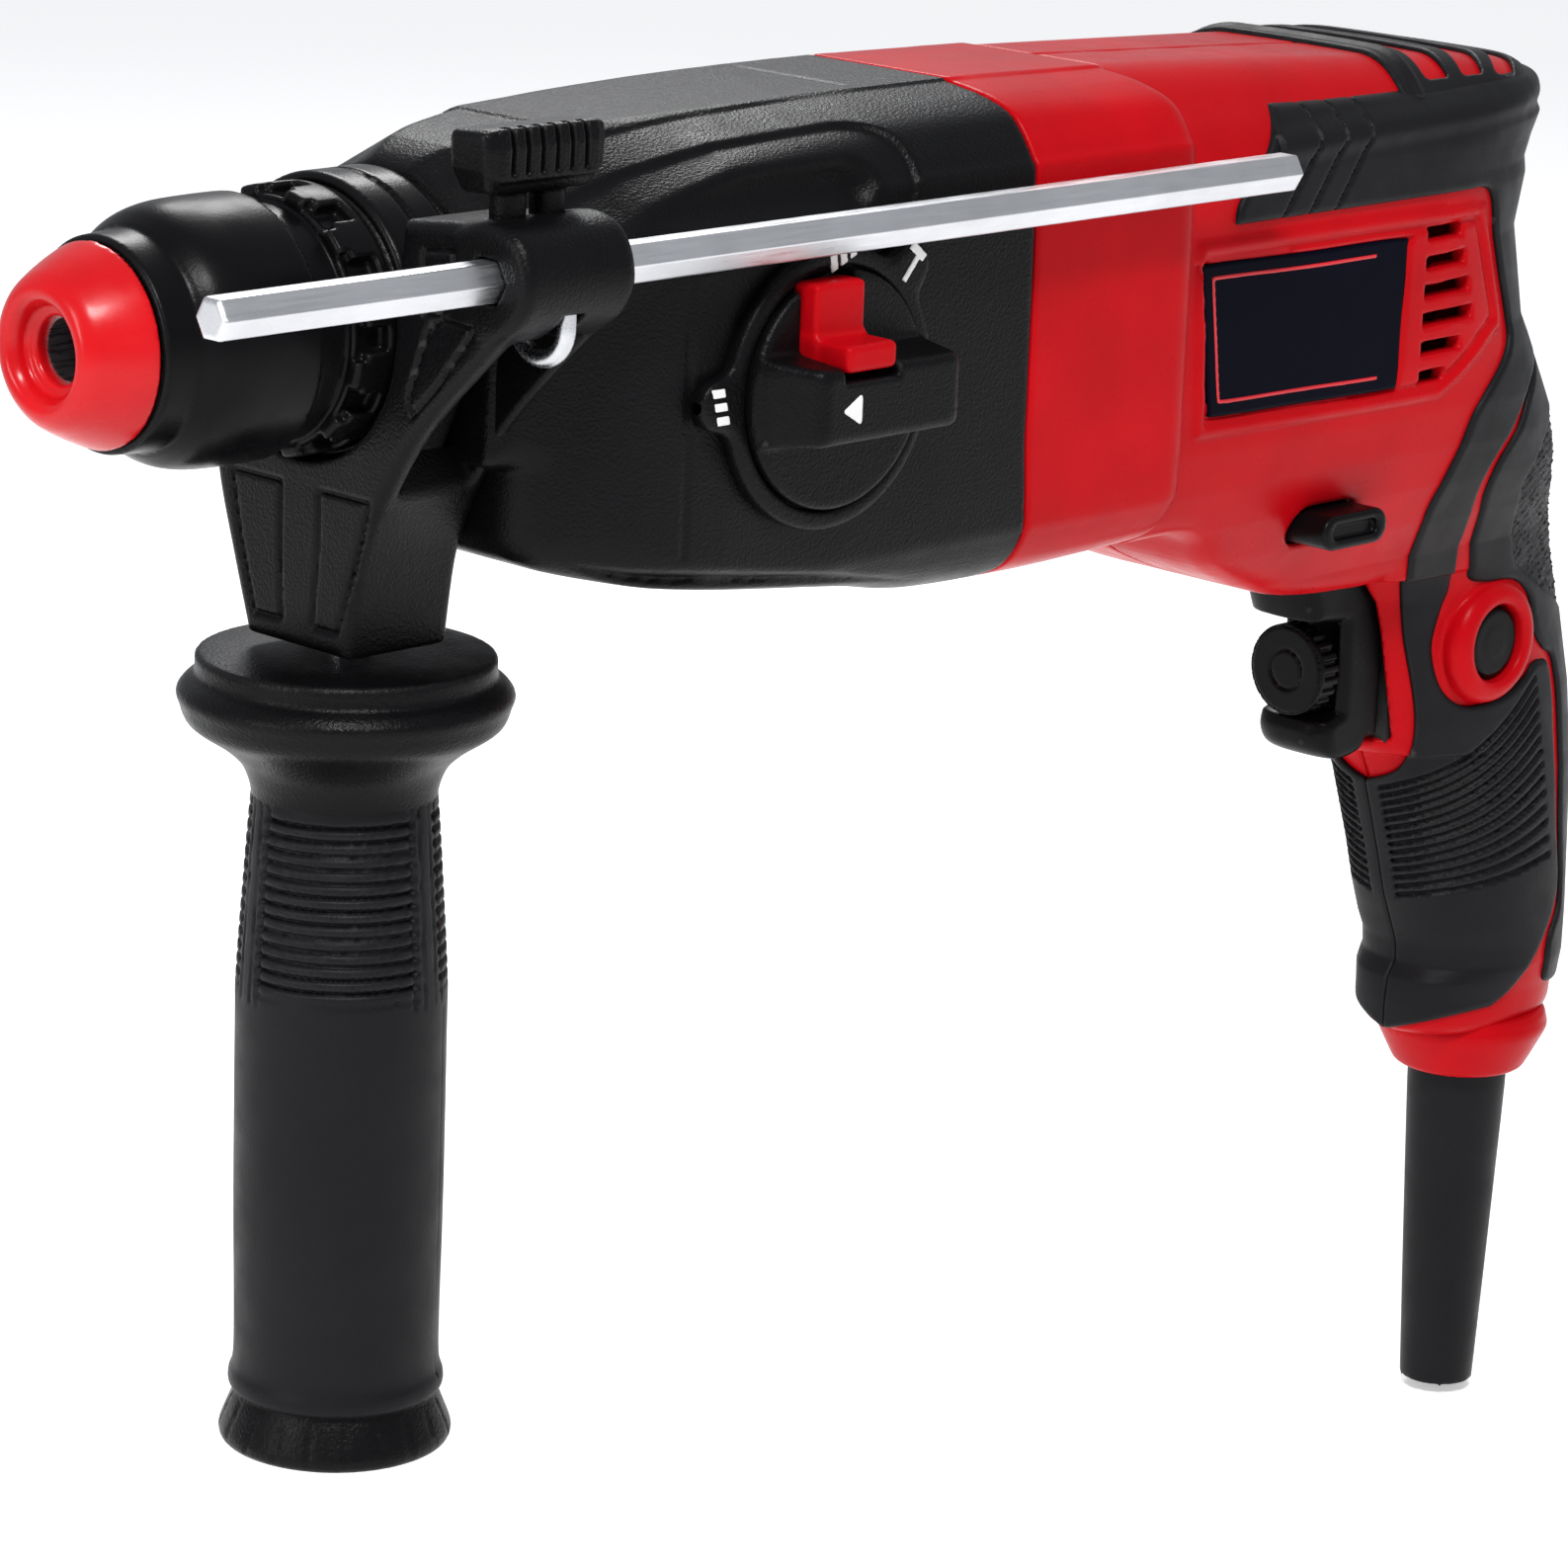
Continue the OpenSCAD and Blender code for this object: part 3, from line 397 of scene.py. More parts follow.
def casing(x, y, z):
    """The moulded outside of the gearbox and the motor tube."""
    f = case_body(x, y, z)
    along = np.maximum(x - 138.0, 0)
    channel = np.sqrt(along**2 + (y + 40.5) ** 2 + (z - 19.6) ** 2) - 6.6
    lip = np.sqrt(np.maximum(x - 141.0, 0) ** 2 + (y + 37.0) ** 2 + (z - 20.0) ** 2) - 12.4
    f = f + raised(lip, 0.9, 1.4) * (x < 160)
    f = less(f, channel, 1.6)
    f = f + raised(scoop(x, z), 2.0, 3.2) * (np.abs(y) > 24)
    groove = np.abs(x - 100.0) - 0.28
    f = f + raised(np.maximum(groove, slab(z, -40, 8)), 0.6, 0.35) * (np.abs(y) > 30)
    plate = np.maximum(np.abs(y) - 17, slab(x, 94, 260))
    f = f - raised(plate, 0.5, 0.7) * (z > 25)
    patch = np.maximum(np.abs(y) - 13, slab(x, 160, 178))
    return f + raised(np.abs(patch) - 0.25, 0.4, 0.3) * (z > 25)


def gearbox_outside(x, y, z):
    f = smax(casing(x, y, z), x - BOUNDARY + 0.25 + 0.085 * np.minimum(z + 30, 0), 0.7)
    inner = smax(casing(x, y, z) + 2.6, 75 - x, 1)
    f = less(f, inner, 0.6)
    neck = both(rod(y, z, 21.4), slab(x, 52.4, 78), k=0.8)
    f = smin(f, neck, 0.8)
    return less(f, both(rod(y, z, 18.4), x - 90, k=0.5), 0.5)


def motor_tube(x, y, z):
    f = smax(casing(x, y, z), BOUNDARY + 0.25 - 0.085 * np.minimum(z + 30, 0) - x, 0.7)
    f = smax(f, x - TUBE_END, 7)
    return less(f, smax(casing(x, y, z) + 2.6, x - TUBE_END + 4, 1), 0.6)


# ---------------------------------------------------------------- rear housing and grip


rear_side = Outline([
    (222, 29.6, 1), (250, 28.4), (298, 26.2), (324, 24.4), (338, 22.6), (348, 20.8), (353.4, 18.0),
    (354.6, 14.4), (351.4, 10.6), (345.6, 6), (342.8, 0), (342.2, -6), (343.8, -14), (347, -26),
    (355, -40), (364.4, -54), (374, -72), (380.6, -90), (384.8, -108), (387.4, -125), (388.8, -140),
    (390, -157), (389.4, -172), (388, -180.4, 1), (342.4, -180.4, 1), (342.4, -172), (343, -168),
    (344.6, -164), (343.6, -158), (339.4, -149), (336.6, -140), (331.4, -125), (328.2, -118.6, 1),
    (322.4, -117.2, 1), (320.4, -112), (317.6, -100), (313.6, -84), (309.6, -77.4, 1), (300, -77.6),
    (277, -75.2), (253, -66.6), (243, -58.6), (236, -56.4), (222, -56.4, 1)], True)
HALF_WIDTHS = [
    (-200, 15.2), (-180, 15.6), (-172, 16.2), (-166, 17.6), (-155, 17.8), (-140, 18.0), (-127, 18.6),
    (-110, 19.0), (-92, 18.8), (-80, 19.4), (-72, 21.5), (-64, 26), (-56, 29.6), (-48, 32.2), (-40, 33.8),
    (-30, 34.4), (10, 34.4), (20, 34.0), (30, 33)]


def half_width(z):
    heights, widths = zip(*HALF_WIDTHS)
    return np.interp(z, heights, widths)


def back_of(z):
    """How far back the housing's rounded rear reaches."""
    heights = [-200, -173, -157, -140, -125, -108, -90, -72, -54, -40, -26, -8, 5, 13, 20, 30]
    reach = [389, 390, 390, 389.2, 388, 385.4, 380.8, 374, 364.4, 355, 346.4, 342.6, 346, 353.6, 351, 344]
    return np.interp(z, heights, reach)


def front_of(z):
    """How far forward the grip's rounded front reaches. Above the trigger there is no rounding."""
    heights = [-200, -173, -168, -165, -161, -157, -149.5, -140.5, -125, -117.6, -116.8, -112, -100,
               -84, -78, -74]
    reach = [343, 343, 343.6, 346, 345.6, 343.4, 340.4, 337.5, 332, 328.6, 323, 321, 318, 314, 308, 100]
    return np.interp(z, heights, reach)


def rear_body(x, y, z):
    w = half_width(z)
    back, front = back_of(z), front_of(z)
    depth = np.minimum(0.5 * (back - front), 50.0)
    turn = np.interp(z, [-173, -157, -125, -100, -84, -76, -56, -40], [22, 23, 26, 30, 32, 35, 46, 50])
    over = np.maximum(x - (back - turn), 0) / turn
    under = np.maximum(np.where(front > 250, front + depth - x, 0), 0) / depth
    power = np.interp(z, [-90, -70, -56, -46, 2, 9, 15], [2.0, 2.2, 2.6, 2.75, 2.6, 2.2, 2.0])
    across = (over**power + under**power + (np.abs(y) / w) ** power) ** (1 / power) - 1
    flat = np.abs(y) - w
    rounded = across * np.minimum(w, depth)
    inside = (over > 0) | (under > 0)
    f = np.where(inside, rounded, flat)
    shoulder = (np.abs(y) * 0.72 + z * 0.70) - (w * 0.72 + 15.5 * 0.70)
    f = smax(f, shoulder, 4)
    f = smax(f, rear_side(x, z), 5)
    return smax(f, 222 - x, 1)


band = Outline([
    (240.4, 1.6, 1), (241.6, 6.2), (249.3, 14.2), (255.4, 21.6, 1), (270, 21.2), (300, 21.0), (318, 21.4),
    (335, 21.2), (346, 20.8), (372, 20.6, 1), (372, -34), (352, -32), (337, -38.5), (330, -46.8),
    (325.6, -54), (325, -60), (328, -70), (330.4, -80), (328.8, -85), (327.4, -93), (330.6, -101),
    (336.5, -105.6), (343, -106.6), (350, -105.8), (356.6, -103.0), (359.4, -100.8), (363, -100.6),
    (366.4, -103), (369.4, -119), (373, -136), (376, -150), (371.9, -159.5), (363, -170.4),
    (358, -173.4, 1), (300, -173.4, 1), (300, -112, 1), (308.6, -116.4), (319.1, -117), (323.2, -114),
    (323.8, -108), (322.4, -101), (318.4, -89), (315.4, -78), (312.4, -68), (311, -60), (313.2, -50),
    (315.4, -42), (319, -37.6), (325.4, -31.6), (327.3, -27.2), (326, -23), (323, -16), (320, -8),
    (317.4, -1), (314, 1.6), (306, 1.8), (280, 1.7)], True)
pad = Outline([
    (337.4, -39.5), (332.4, -47.4), (328.2, -54), (327.9, -60), (330.6, -67), (334.4, -76), (336.2, -80),
    (341, -81.4), (350.5, -82.2), (356.8, -86.6), (360.4, -95), (364, -98.6), (368.4, -101.5),
    (371.4, -112), (374.8, -134), (378.4, -153), (374, -161), (373.4, -167), (377, -172), (395, -173, 1),
    (400, -150, 1), (400, -30, 1), (352, -28, 1)], True)
label_place = Outline([
    (232.4, -4.6), (262, -5), (289.6, -5.2), (291.4, -7.4), (291, -20), (290.6, -33), (288.4, -34.4),
    (262, -34), (238, -33.6), (235.9, -32), (234, -20), (232.2, -7)], True)
panel = Outline([
    (230.4, -0.7, 1), (308, -0.9), (315.4, -3.4), (320, -14), (323.4, -25.2), (319, -28.2),
    (305.4, -36.6), (297, -37.6), (262, -37.4), (232.4, -37, 1)], True)
BAR_X, BAR_Z = 278.4, -59.2
LOCK_X, LOCK_Z, LOCK_R = 344.6, -94.0, 7.3
LOCK_FACE = -18.6


def grille(x, z):
    """The slanted slots of the air outlet, as one 2D field."""
    f = np.full(np.broadcast(x, z).shape, 9.0)
    for k in range(6):
        end = (307.8, 309.4, 311.2, 312.6, 309, 304.6)[k]
        mid = -5.6 - 5.45 * k
        f = np.minimum(f, np.maximum(slab(x, 296.6, end), np.abs(z - mid - 0.02 * (x - 300)) - 1.5))
    return f


RIB_FIRST, RIB_PITCH, RIB_HALF = 303.0, 14.6, 3.0


def swept(x, y):
    """Place along the vent cover, measured on its middle line: the ribs' ends sweep forward."""
    out = x
    for _ in range(3):
        out = x + np.interp(out, [302, 316, 331, 345], [0.005, 0.009, 0.015, 0.021]) * np.abs(y) ** 2
    return out


def vent_windows(x, y, z):
    """The openings between the ribs of the rear vent cover."""
    along = swept(x, y)
    from_rib = along - RIB_FIRST - RIB_PITCH * np.round((along - RIB_FIRST) / RIB_PITCH)
    ends = np.maximum(slab(along, RIB_FIRST, RIB_FIRST + 3 * RIB_PITCH), 20.5 - z)
    return smax((RIB_HALF - np.abs(from_rib)) * 0.8, np.maximum(ends, np.abs(y) - 28.0), 1.5)


def vent_ribs(x, y, z):
    along = swept(x, y)
    f = rear_body(x, y, z) - 1.0 - raised(np.abs(along - RIB_FIRST + 2.0) - 2.0, 0.7, 2.0)
    zone = np.maximum(slab(along, RIB_FIRST - 6.5, RIB_FIRST + 3.2 * RIB_PITCH), 19.5 - z)
    f = smax(f, zone, 1.2)
    f = less(f, vent_windows(x, y, z), 0.8)
    return less(f, rear_body(x, y, z) + 0.4, 0.3)


def red_shape(x, y, z):
    """The hard red housing with its panel, recesses and openings."""
    f = rear_body(x, y, z)
    side = np.abs(y) > 12
    f = f - raised(panel(x, z), 0.7, 0.7) * side
    f = f + raised(panel(x, z) + 2.0, 0.9, 0.7) * side
    f = f - raised(panel(x, z) + 3.6, 0.5, 0.5) * side
    f = f + raised(label_place(x, z) - 0.3, 0.8, 0.4) * side
    f = f + raised(grille(x, z), 4.0, 0.7) * side
    bar = np.maximum(np.abs(x - BAR_X) - 5.75, 0)
    bar = np.sqrt(bar**2 + (z - BAR_Z) ** 2) - 3.95
    f = less(f, np.broadcast_to(bar, f.shape), 0.8)
    f = smin(f, lock_ring(x, y, z), 1.2)
    hole = both(np.broadcast_to(rod(x, z, LOCK_R + 0.5, LOCK_X, LOCK_Z), f.shape), y + 6, k=0.5)
    f = less(f, hole, 1.0)
    mouth = both(np.broadcast_to(slab(x, 290, 345), f.shape), slab(z, -113.4, -62), np.abs(y) - 9.7, k=1.5)
    f = less(f, mouth, 1.2)
    f = f + raised(band(*seen_on_side(x, y, z)) + 1.2, 0.8, 0.8) + raised(pad(x, z) + 1.2, 0.8, 0.8)
    return less(f, hollow(x, y, z), 0.5)


def hollow(x, y, z):
    inner = smax(rear_body(x, y, z) + 3.2, -176 - z, 1)
    return smax(inner, 216 - x, 1)


def lock_ring(x, y, z):
    """Rounded ring that surrounds the lock-on button."""
    r = rod(x, z, 0, LOCK_X, LOCK_Z)
    tube = np.sqrt((r - 9.3) ** 2 + (y - LOCK_FACE + 0.4) ** 2) - 3.1
    base = both(r - 10.6, slab(y, LOCK_FACE - 0.4, -8), k=2.0)
    return smin(tube, base, 0.8)


SEEN_BACK, SEEN_UP = 1.0287, 0.38


def seen_on_side(x, y, z):
    """Side-view place of a point of the grip's rounded front, as it is read by somebody at the front left."""
    middle = 0.5 * (back_of(z) + np.maximum(front_of(z), 300))
    depth = np.maximum(half_width(z) - np.abs(y), 0) * (x < middle) * (z < -62)
    return x - SEEN_BACK * depth, z + SEEN_UP * depth


def band_field(x, y, z):
    """The rubber over the top side, the back and the grip."""
    f = rear_body(x, y, z) - 1.1
    bead = np.abs(z - (16.5 + 0.035 * (x - 300))) / 4.2 - 1
    f = f - raised(bead, 1.1, 0.9) * (x > 252)
    cuts = np.full(np.broadcast(x, z).shape, 5.0)
    for k in range(3):
        bend = 262.4 + 7.4 * k - np.maximum(15.0 - z, 0) * 0.72 - np.minimum(15.0 - z, 0) * 0.1
        cuts = np.minimum(cuts, np.abs(x - bend) * 0.85 - 0.45)
    f = f + raised(np.maximum(cuts, slab(z, 0.5, 25)), 0.9, 0.4)
    f = f + raised(fan_cuts(x, y, z), 0.8, 0.45)
    f = smax(f, band(*seen_on_side(x, y, z)), 1.3)
    mouth = both(slab(x, 290, 345) + 0 * y, slab(z, -117, -62), np.abs(y) - 10.4, k=0.5)
    f = less(f, mouth, 0.8)
    return less(f, rear_body(x, y, z) + 1.3, 0.3)


FAN_COUNT = 14
GRIP_FACE = 18.8


def fan_cuts(x, y, z):
    """Curved grooves of the grip. They start level near the front seam and sweep up towards the back."""
    depth = GRIP_FACE - np.abs(y)
    side_x = x - SEEN_BACK * depth
    side_z = z + SEEN_UP * depth
    u = np.clip((side_x - 313.4) / 47.4, 0, 1.2)
    upper = -119.6 - 1.0 * u + 17.0 * u**3.2
    v = np.clip((side_x - 320.9) / 49.5, -0.2, 1.1)
    lower = -142.9 - 6.8 * v + 7.6 * np.maximum(v, 0) ** 2.6
    share = (upper - side_z) / np.maximum(upper - lower, 5.0) * (FAN_COUNT - 1)
    pitch = (upper - lower) / (FAN_COUNT - 1)
    cut = np.abs(share - np.clip(np.round(share), 0, FAN_COUNT - 1)) * pitch - 0.36 * np.clip(pitch, 1.4, 2.0)
    left = 316.4 - 0.325 * (side_z + 119.4)
    right = 361.0 - 0.24 * (side_z + 103.4)
    return np.maximum(cut, np.maximum(left - side_x, side_x - right))


def pad_field(x, y, z):
    f = rear_body(x, y, z) - 1.0
    grain = (np.sin(x * 3.1 + 0.9 * np.sin(z * 2.3)) * np.sin(z * 3.4 + 0.8 * np.sin(y * 2.9))
             * np.sin(y * 3.3 + x))
    f = f + raised(pebbles(x, z), 1.0, 0.8) * (0.45 - 0.3 * grain)
    f = smax(f, pad(x, z), 1.3)
    return less(f, rear_body(x, y, z) + 1.3, 0.3)


pebbles = Outline([
    (341.5, -56.6), (340.4, -62), (344, -70), (346.8, -75.2), (349, -78.6), (356.8, -83.5), (366, -88),
    (385, -94), (372, -60), (352, -46)], True)


def one_side(field, side):
    """The half of a symmetric field that lies on one side of the joint face."""
    def half(x, y, z):
        whole = np.broadcast_to(field(x, y, z), np.broadcast(x, y, z).shape)
        return smax(whole, 0.12 - side * y, 0.5)

    return half


REAR_LOW, REAR_HIGH = (220, -37.5, -188), (393, 37.5, 33)
PAST_JOINT = 2


def side_range(side):
    """The box that is searched for one half of the rear housing, a little past the joint face."""
    low, high = list(REAR_LOW), list(REAR_HIGH)
    if side > 0:
        low[1] = -PAST_JOINT
    else:
        high[1] = PAST_JOINT
    return low, high


def build_casing():
    carve("gearbox_cover", gearbox_outside, (50, -42, -60), (186, 42, 34), 0.8, "housing",
          ["gearbox_housing"], LOOKS["grained_black"])
    carve("motor_cover", motor_tube, (180, -42, -60), (230, 42, 34), 0.8, "housing", ["motor_housing"],
          LOOKS["shell_red"])


def build_rear():
    for side, word in ((-1, "left"), (1, "right")):
        low, high = side_range(side)
        carve("rear_shell_" + word, one_side(red_shape, side), low, high, 0.8, "housing",
              ["handle_shell_" + word], LOOKS["shell_red"])
        carve("soft_band_" + word, one_side(band_field, side), low, high, 0.6, "housing",
              ["rear_rubber_" + word], LOOKS["rubber_black"])
        carve("soft_pad_" + word, one_side(pad_field, side), (320, low[1], -180), (393, high[1], -24), 0.6,
              "housing", ["grip_pad_" + word], LOOKS["rubber_black"])


# ---------------------------------------------------------------- chuck


def profile(points, smooth=False):
    """A turned section as [along, radius] points, closed along the axis."""
    first, last = points[0], points[-1]
    line = [(first[0], -60, 1)] + list(points) + [(last[0], -60, 1)]
    return Outline(line, smooth, margin=6.0)


cap_section = profile([
    (7.9, 16.5, 1), (6.9, 16.3), (3.6, 14.9), (0.6, 13.4), (-1.6, 12.0), (-2.9, 10.2), (-2.7, 8.6),
    (-1.4, 7.6), (0.2, 7.2), (0.4, 6.4), (0.6, 5.1, 1), (8.0, 5.1, 1)], True)
sleeve_section = profile([
    (8.4, 16.2, 1), (8.5, 17.1), (9.2, 17.3), (14.4, 17.7), (15.4, 18.4), (18.2, 20.2), (22, 21.2),
    (27, 21.55), (35.6, 21.6), (36.3, 21.2), (36.5, 20.2, 1), (36.6, 19.6, 1)], True)
ring_section = profile([
    (34.8, 18.4, 1), (35, 19.2), (42.8, 19.2), (43, 20.4), (43.4, 21.8), (44.5, 22.0), (50.6, 22.0),
    (51.6, 21.5), (51.8, 20.4, 1)], True)
BLOCKS = 12


def nose_cap(x, y, z):
    r = rod(y, z, 0)
    f = cap_section(x, r)
    bore = both(r - 5.3, x - 60 + 0 * y, k=0.5)
    return less(f, bore, 0.8)


def chuck_sleeve(x, y, z):
    r = rod(y, z, 0)
    return less(sleeve_section(x, r), r - 15.6, 0.4)


def ring_angle(y, z, count):
    """Distance round the ring from the middle of the nearest of its repeated features."""
    step = 2 * math.pi / count
    angle = np.arctan2(z, y)
    return (angle - np.round(angle / step) * step) * 21.5


def chuck_ring(x, y, z):
    """Ring with raised blocks that stand between dark slots, and a bright rim at each end."""
    r = rod(y, z, 0)
    f = ring_section(x, r)
    arc = ring_angle(y, z, BLOCKS)
    slot = both(slab(x, 44.4, 49.6), np.abs(arc) - 2.1, 19.7 - r, k=0.8)
    notch = both(slab(x, 42.4, 45.2), np.abs(arc) - 3.4, 20.4 - r, k=0.8)
    f = less(f, slot, 0.7)
    f = less(f, notch, 0.6)
    return less(f, r - 16.8, 0.4)


def build_chuck():
    carve("cap", nose_cap, (-5, -19, -19), (9.5, 19, 19), 0.6, "spindle_group", ["nose_cap"],
          LOOKS["gloss_red"])
    carve("sleeve", chuck_sleeve, (6.5, -24, -24), (38.5, 24, 24), 0.7, "sleeve_group", ["chuck_sleeve"],
          LOOKS["satin_black"])
    carve("ring", chuck_ring, (33, -24, -24), (54, 24, 24), 0.5, "spindle_group", ["chuck_ring"],
          LOOKS["satin_black"])


# ---------------------------------------------------------------- side handle and depth stop

HANDLE_X = 60.8
ROD_Y, ROD_Z = -45.0, 12.7
POST_Y, POST_APART = -41.0, 4.2
bracket_front = Outline([
    (-24.3, 19.3, 1), (-36, 20.6), (-46, 21.3), (-51.5, 19.2), (-53.8, 12.7), (-52, 7.6), (-46.5, 2.4),
    (-31, -12.3), (-23.4, -22), (-17.4, -32.6), (-14.5, -41), (-12.4, -54.6, 1), (12.4, -54.6, 1),
    (16.6, -42), (20.6, -28.7), (22.5, -14, 1), (0, 0, 1), (-22, 0, 1)], True)
strut_window = Outline([
    (-25, 17.4), (-35.4, 17.4), (-36, 8), (-41, 2.6), (-54, 2.6), (-22, -29), (-17.4, -20),
    (-24, -6)], margin=40.0)
panel_low = Outline([
    (-10.4, -50.5), (-14.2, -37.5), (-17.6, -27.5), (-5.5, -27.5), (-5.5, -37),
    (-4.2, -50.5)], margin=60.0)
panel_side = Outline([
    (10.2, -50.5), (14, -38), (16.2, -27.5), (4, -27.5), (4, -38), (3.4, -50.5)], margin=60.0)
panel_top = Outline([(-29.6, 15.4), (-37.2, 16.2), (-37.2, 8.4), (-33, 5.2), (-29.8, 5.2)], margin=60.0)
panel_arm = Outline([
    (-30.8, 2.6), (-34, 4.8), (-42, 4.6), (-33.4, -6), (-27.6, -11.6), (-26.6, -8.6)], margin=60.0)


def outlined(sd, width=0.55):
    return np.abs(sd) - width


def bracket(x, y, z):
    """The moulded arm that clamps round the gearbox neck and carries the depth rod."""
    front, back = 49.4, 72.2
    arm = smax(np.broadcast_to(bracket_front(y, z), np.broadcast(x, y, z).shape), slab(x, front, back), 2.4)
    barrel = smax(rod(y, z, 8.6, ROD_Y, ROD_Z), slab(x, front, back), 2.4)
    f = smin(arm, barrel, 2.5)
    f = smin(f, both(rod(y, z, 25.4), slab(x, front + 1.4, 66), z - 0.5 * y - 4.0, k=1.5) + 0 * x, 2.0)
    window = both(np.broadcast_to(strut_window(y, z), f.shape), slab(x, front + 4.0, back - 3.2), k=1.5)
    f = less(f, window, 1.2)
    for shape in (panel_low, panel_side, panel_top, panel_arm):
        groove = np.maximum(outlined(shape(y, z)), x - front - 3)
        f = f + raised(groove, 0.75, 0.5) * (x < front + 3)
    f = less(f, rod(y, z, 23.3), 0.6)
    f = less(f, both(rod(y, z, 26.2), 65.8 - x, k=0.5), 0.6)
    f = less(f, hexagon(y, z, 3.6), 0.5)
    for dx in (-POST_APART, POST_APART):
        f = less(f, both(rod(x, y, 3.4, HANDLE_X + dx, POST_Y), 17.5 - z, k=0.4), 0.8)
    return less(f, both(rod(y, z, 7.2, ROD_Y, ROD_Z - 5), np.abs(x - HANDLE_X) - 2.2, k=0.4), 0.6)


def hexagon(y, z, flat):
    """Hexagon round the depth rod's axis with two flats level. flat is half the width across flats."""
    dy, dz = np.abs(y - ROD_Y), np.abs(z - ROD_Z)
    return np.maximum(dz, 0.866 * dy + 0.5 * dz) - flat


ROD_TEETH = 0.85


def depth_rod(x, y, z):
    """Hexagonal rod with fine teeth on the upper front facet over its front part."""
    f = both(hexagon(y, z, 3.2), slab(x, -6.4, 242.0), k=0.8)
    teeth = np.abs(np.mod(x, ROD_TEETH) - ROD_TEETH / 2) * 1.2
    upper = (z > ROD_Z + 0.3) & (y < ROD_Y - 0.4)
    on = raised(np.maximum(slab(x, 2, 240), 0 * x), 0.32, 3.0)
    return f + upper * on * np.clip(teeth * 2.4, 0, 1)


button_front = Outline([
    (-36.4, 25.8), (-37.6, 25.0), (-44.2, 25.4), (-45.6, 28.4), (-45.8, 33), (-45.2, 35.8), (-43.8, 36.4),
    (-37, 35.6), (-36.2, 34.4)], margin=20.0)
button_side = Outline([
    (47.8, 35.6), (48.2, 29.5), (50.6, 25.0), (70.8, 25.0), (73.2, 29.5), (73.6, 35.8), (72.6, 36.8),
    (49.2, 36.8)], margin=20.0)
GROOVES = 6


def depth_button(x, y, z):
    """Thumb button with grooves over its front edge, on two short posts."""
    shape = np.broadcast(x, y, z).shape
    f = smax(np.broadcast_to(button_front(y, z), shape), np.broadcast_to(button_side(x, z), shape), 1.8)
    pitch = 3.1
    local = np.abs(x - 53.2 - pitch * np.clip(np.round((x - 53.2) / pitch), 0, GROOVES - 1))
    cut = np.maximum(local - 0.62, np.maximum(28.6 - z, y + 42.6))
    f = f + raised(cut, 1.5, 0.5)
    face = np.maximum(np.maximum(slab(x, 50.4, 71.8), slab(z, 27.4, 40)), y + 44.6)
    f = f - raised(face, 0.4, 0.5)
    for dx in (-POST_APART, POST_APART):
        f = smin(f, both(rod(x, y, 2.9, HANDLE_X + dx, POST_Y), slab(z, 19.0, 27), k=0.5), 0.6)
    return f


def stirrup(x, y, z):
    """Wire loop round the rod, below the bracket's barrel."""
    leg, wire = 5.7, 1.5
    dy, dz = y - ROD_Y, z - 5.0
    ring = np.sqrt((np.sqrt(dy**2 + np.minimum(dz, 0) ** 2) - leg) ** 2 + (x - HANDLE_X) ** 2) - wire
    return both(ring, z - 14 + 0 * x, k=0.3)


flange_section = profile([
    (-56.3, 8, 1), (-56.4, 18), (-57.0, 24.2), (-57.8, 24.9), (-60.4, 25.0), (-61.0, 25.6), (-61.8, 26.8),
    (-63.6, 28.0), (-65.6, 27.4), (-67.2, 26.9), (-69.0, 25.6), (-72.2, 20.8), (-75.4, 17.4), (-79, 15.8),
    (-82, 15.4, 1)], True)
foot_section = profile([
    (-183.6, 16.9, 1), (-185.6, 17.0), (-187.2, 17.8), (-191.4, 19.5), (-192.8, 19.8), (-194.0, 19.4),
    (-194.5, 18.2, 1)], True)
grip_section = profile([
    (-79.6, 15.0, 1), (-81.4, 15.6), (-96, 16.7), (-112, 17.7), (-120, 17.75), (-150, 17.7), (-172, 17.4),
    (-180, 17.5), (-182.6, 18.2), (-184.4, 18.2), (-185.4, 17.2, 1)], True)


def handle_core(x, y, z):
    r = rod(x, y, 0, HANDLE_X, 0)
    f = np.minimum(flange_section(z, r), foot_section(z, r))
    angle = np.arctan2(y, x - HANDLE_X)
    scallop = np.abs(np.mod(angle * 20 / (2 * math.pi), 1) - 0.5)
    foot = raised(np.maximum(slab(z, -193.5, -186.5), 17 - r), 0.25, 0.5)
    f = f + foot * (scallop > 0.44)
    stem = both(r - 12.4, slab(z, -186, -80) + 0 * r, k=0.5)
    return less(smin(f, stem, 0.5), both(r - 4.4, -98 - z, k=0.4), 0.4)


def handle_grip(x, y, z):
    """Grip with three groups of finger grooves, broken by smooth strips, and a moulding seam."""
    r = rod(x, y, 0, HANDLE_X, 0)
    f = grip_section(z, r)
    pitch = 2.3
    local = np.abs(np.mod(z + 82, pitch) - pitch / 2)
    cut = np.maximum(local - 0.62, slab(z, -113.2, -82.4))
    angle = np.degrees(np.arctan2(y, x - HANDLE_X))
    third = np.abs(np.mod(angle + 135 + 60, 120) - 60)
    strip = np.radians(51.0 - third) * 17
    f = f + raised(np.maximum(cut, -strip), 1.15, 0.6)
    tall = raised(np.maximum(np.abs(np.abs(strip) - 1.1) - 0.35, slab(z, -115, -80)), 0.5, 0.35)
    f = f + tall
    from_seam = np.abs(np.radians(np.mod(angle + 58 + 180, 360) - 180)) * 17
    seam = np.maximum(from_seam - 0.25, slab(z, -183, -116))
    f = f + raised(seam, 0.6, 0.3)
    return less(f, r - 12.6, 0.4)


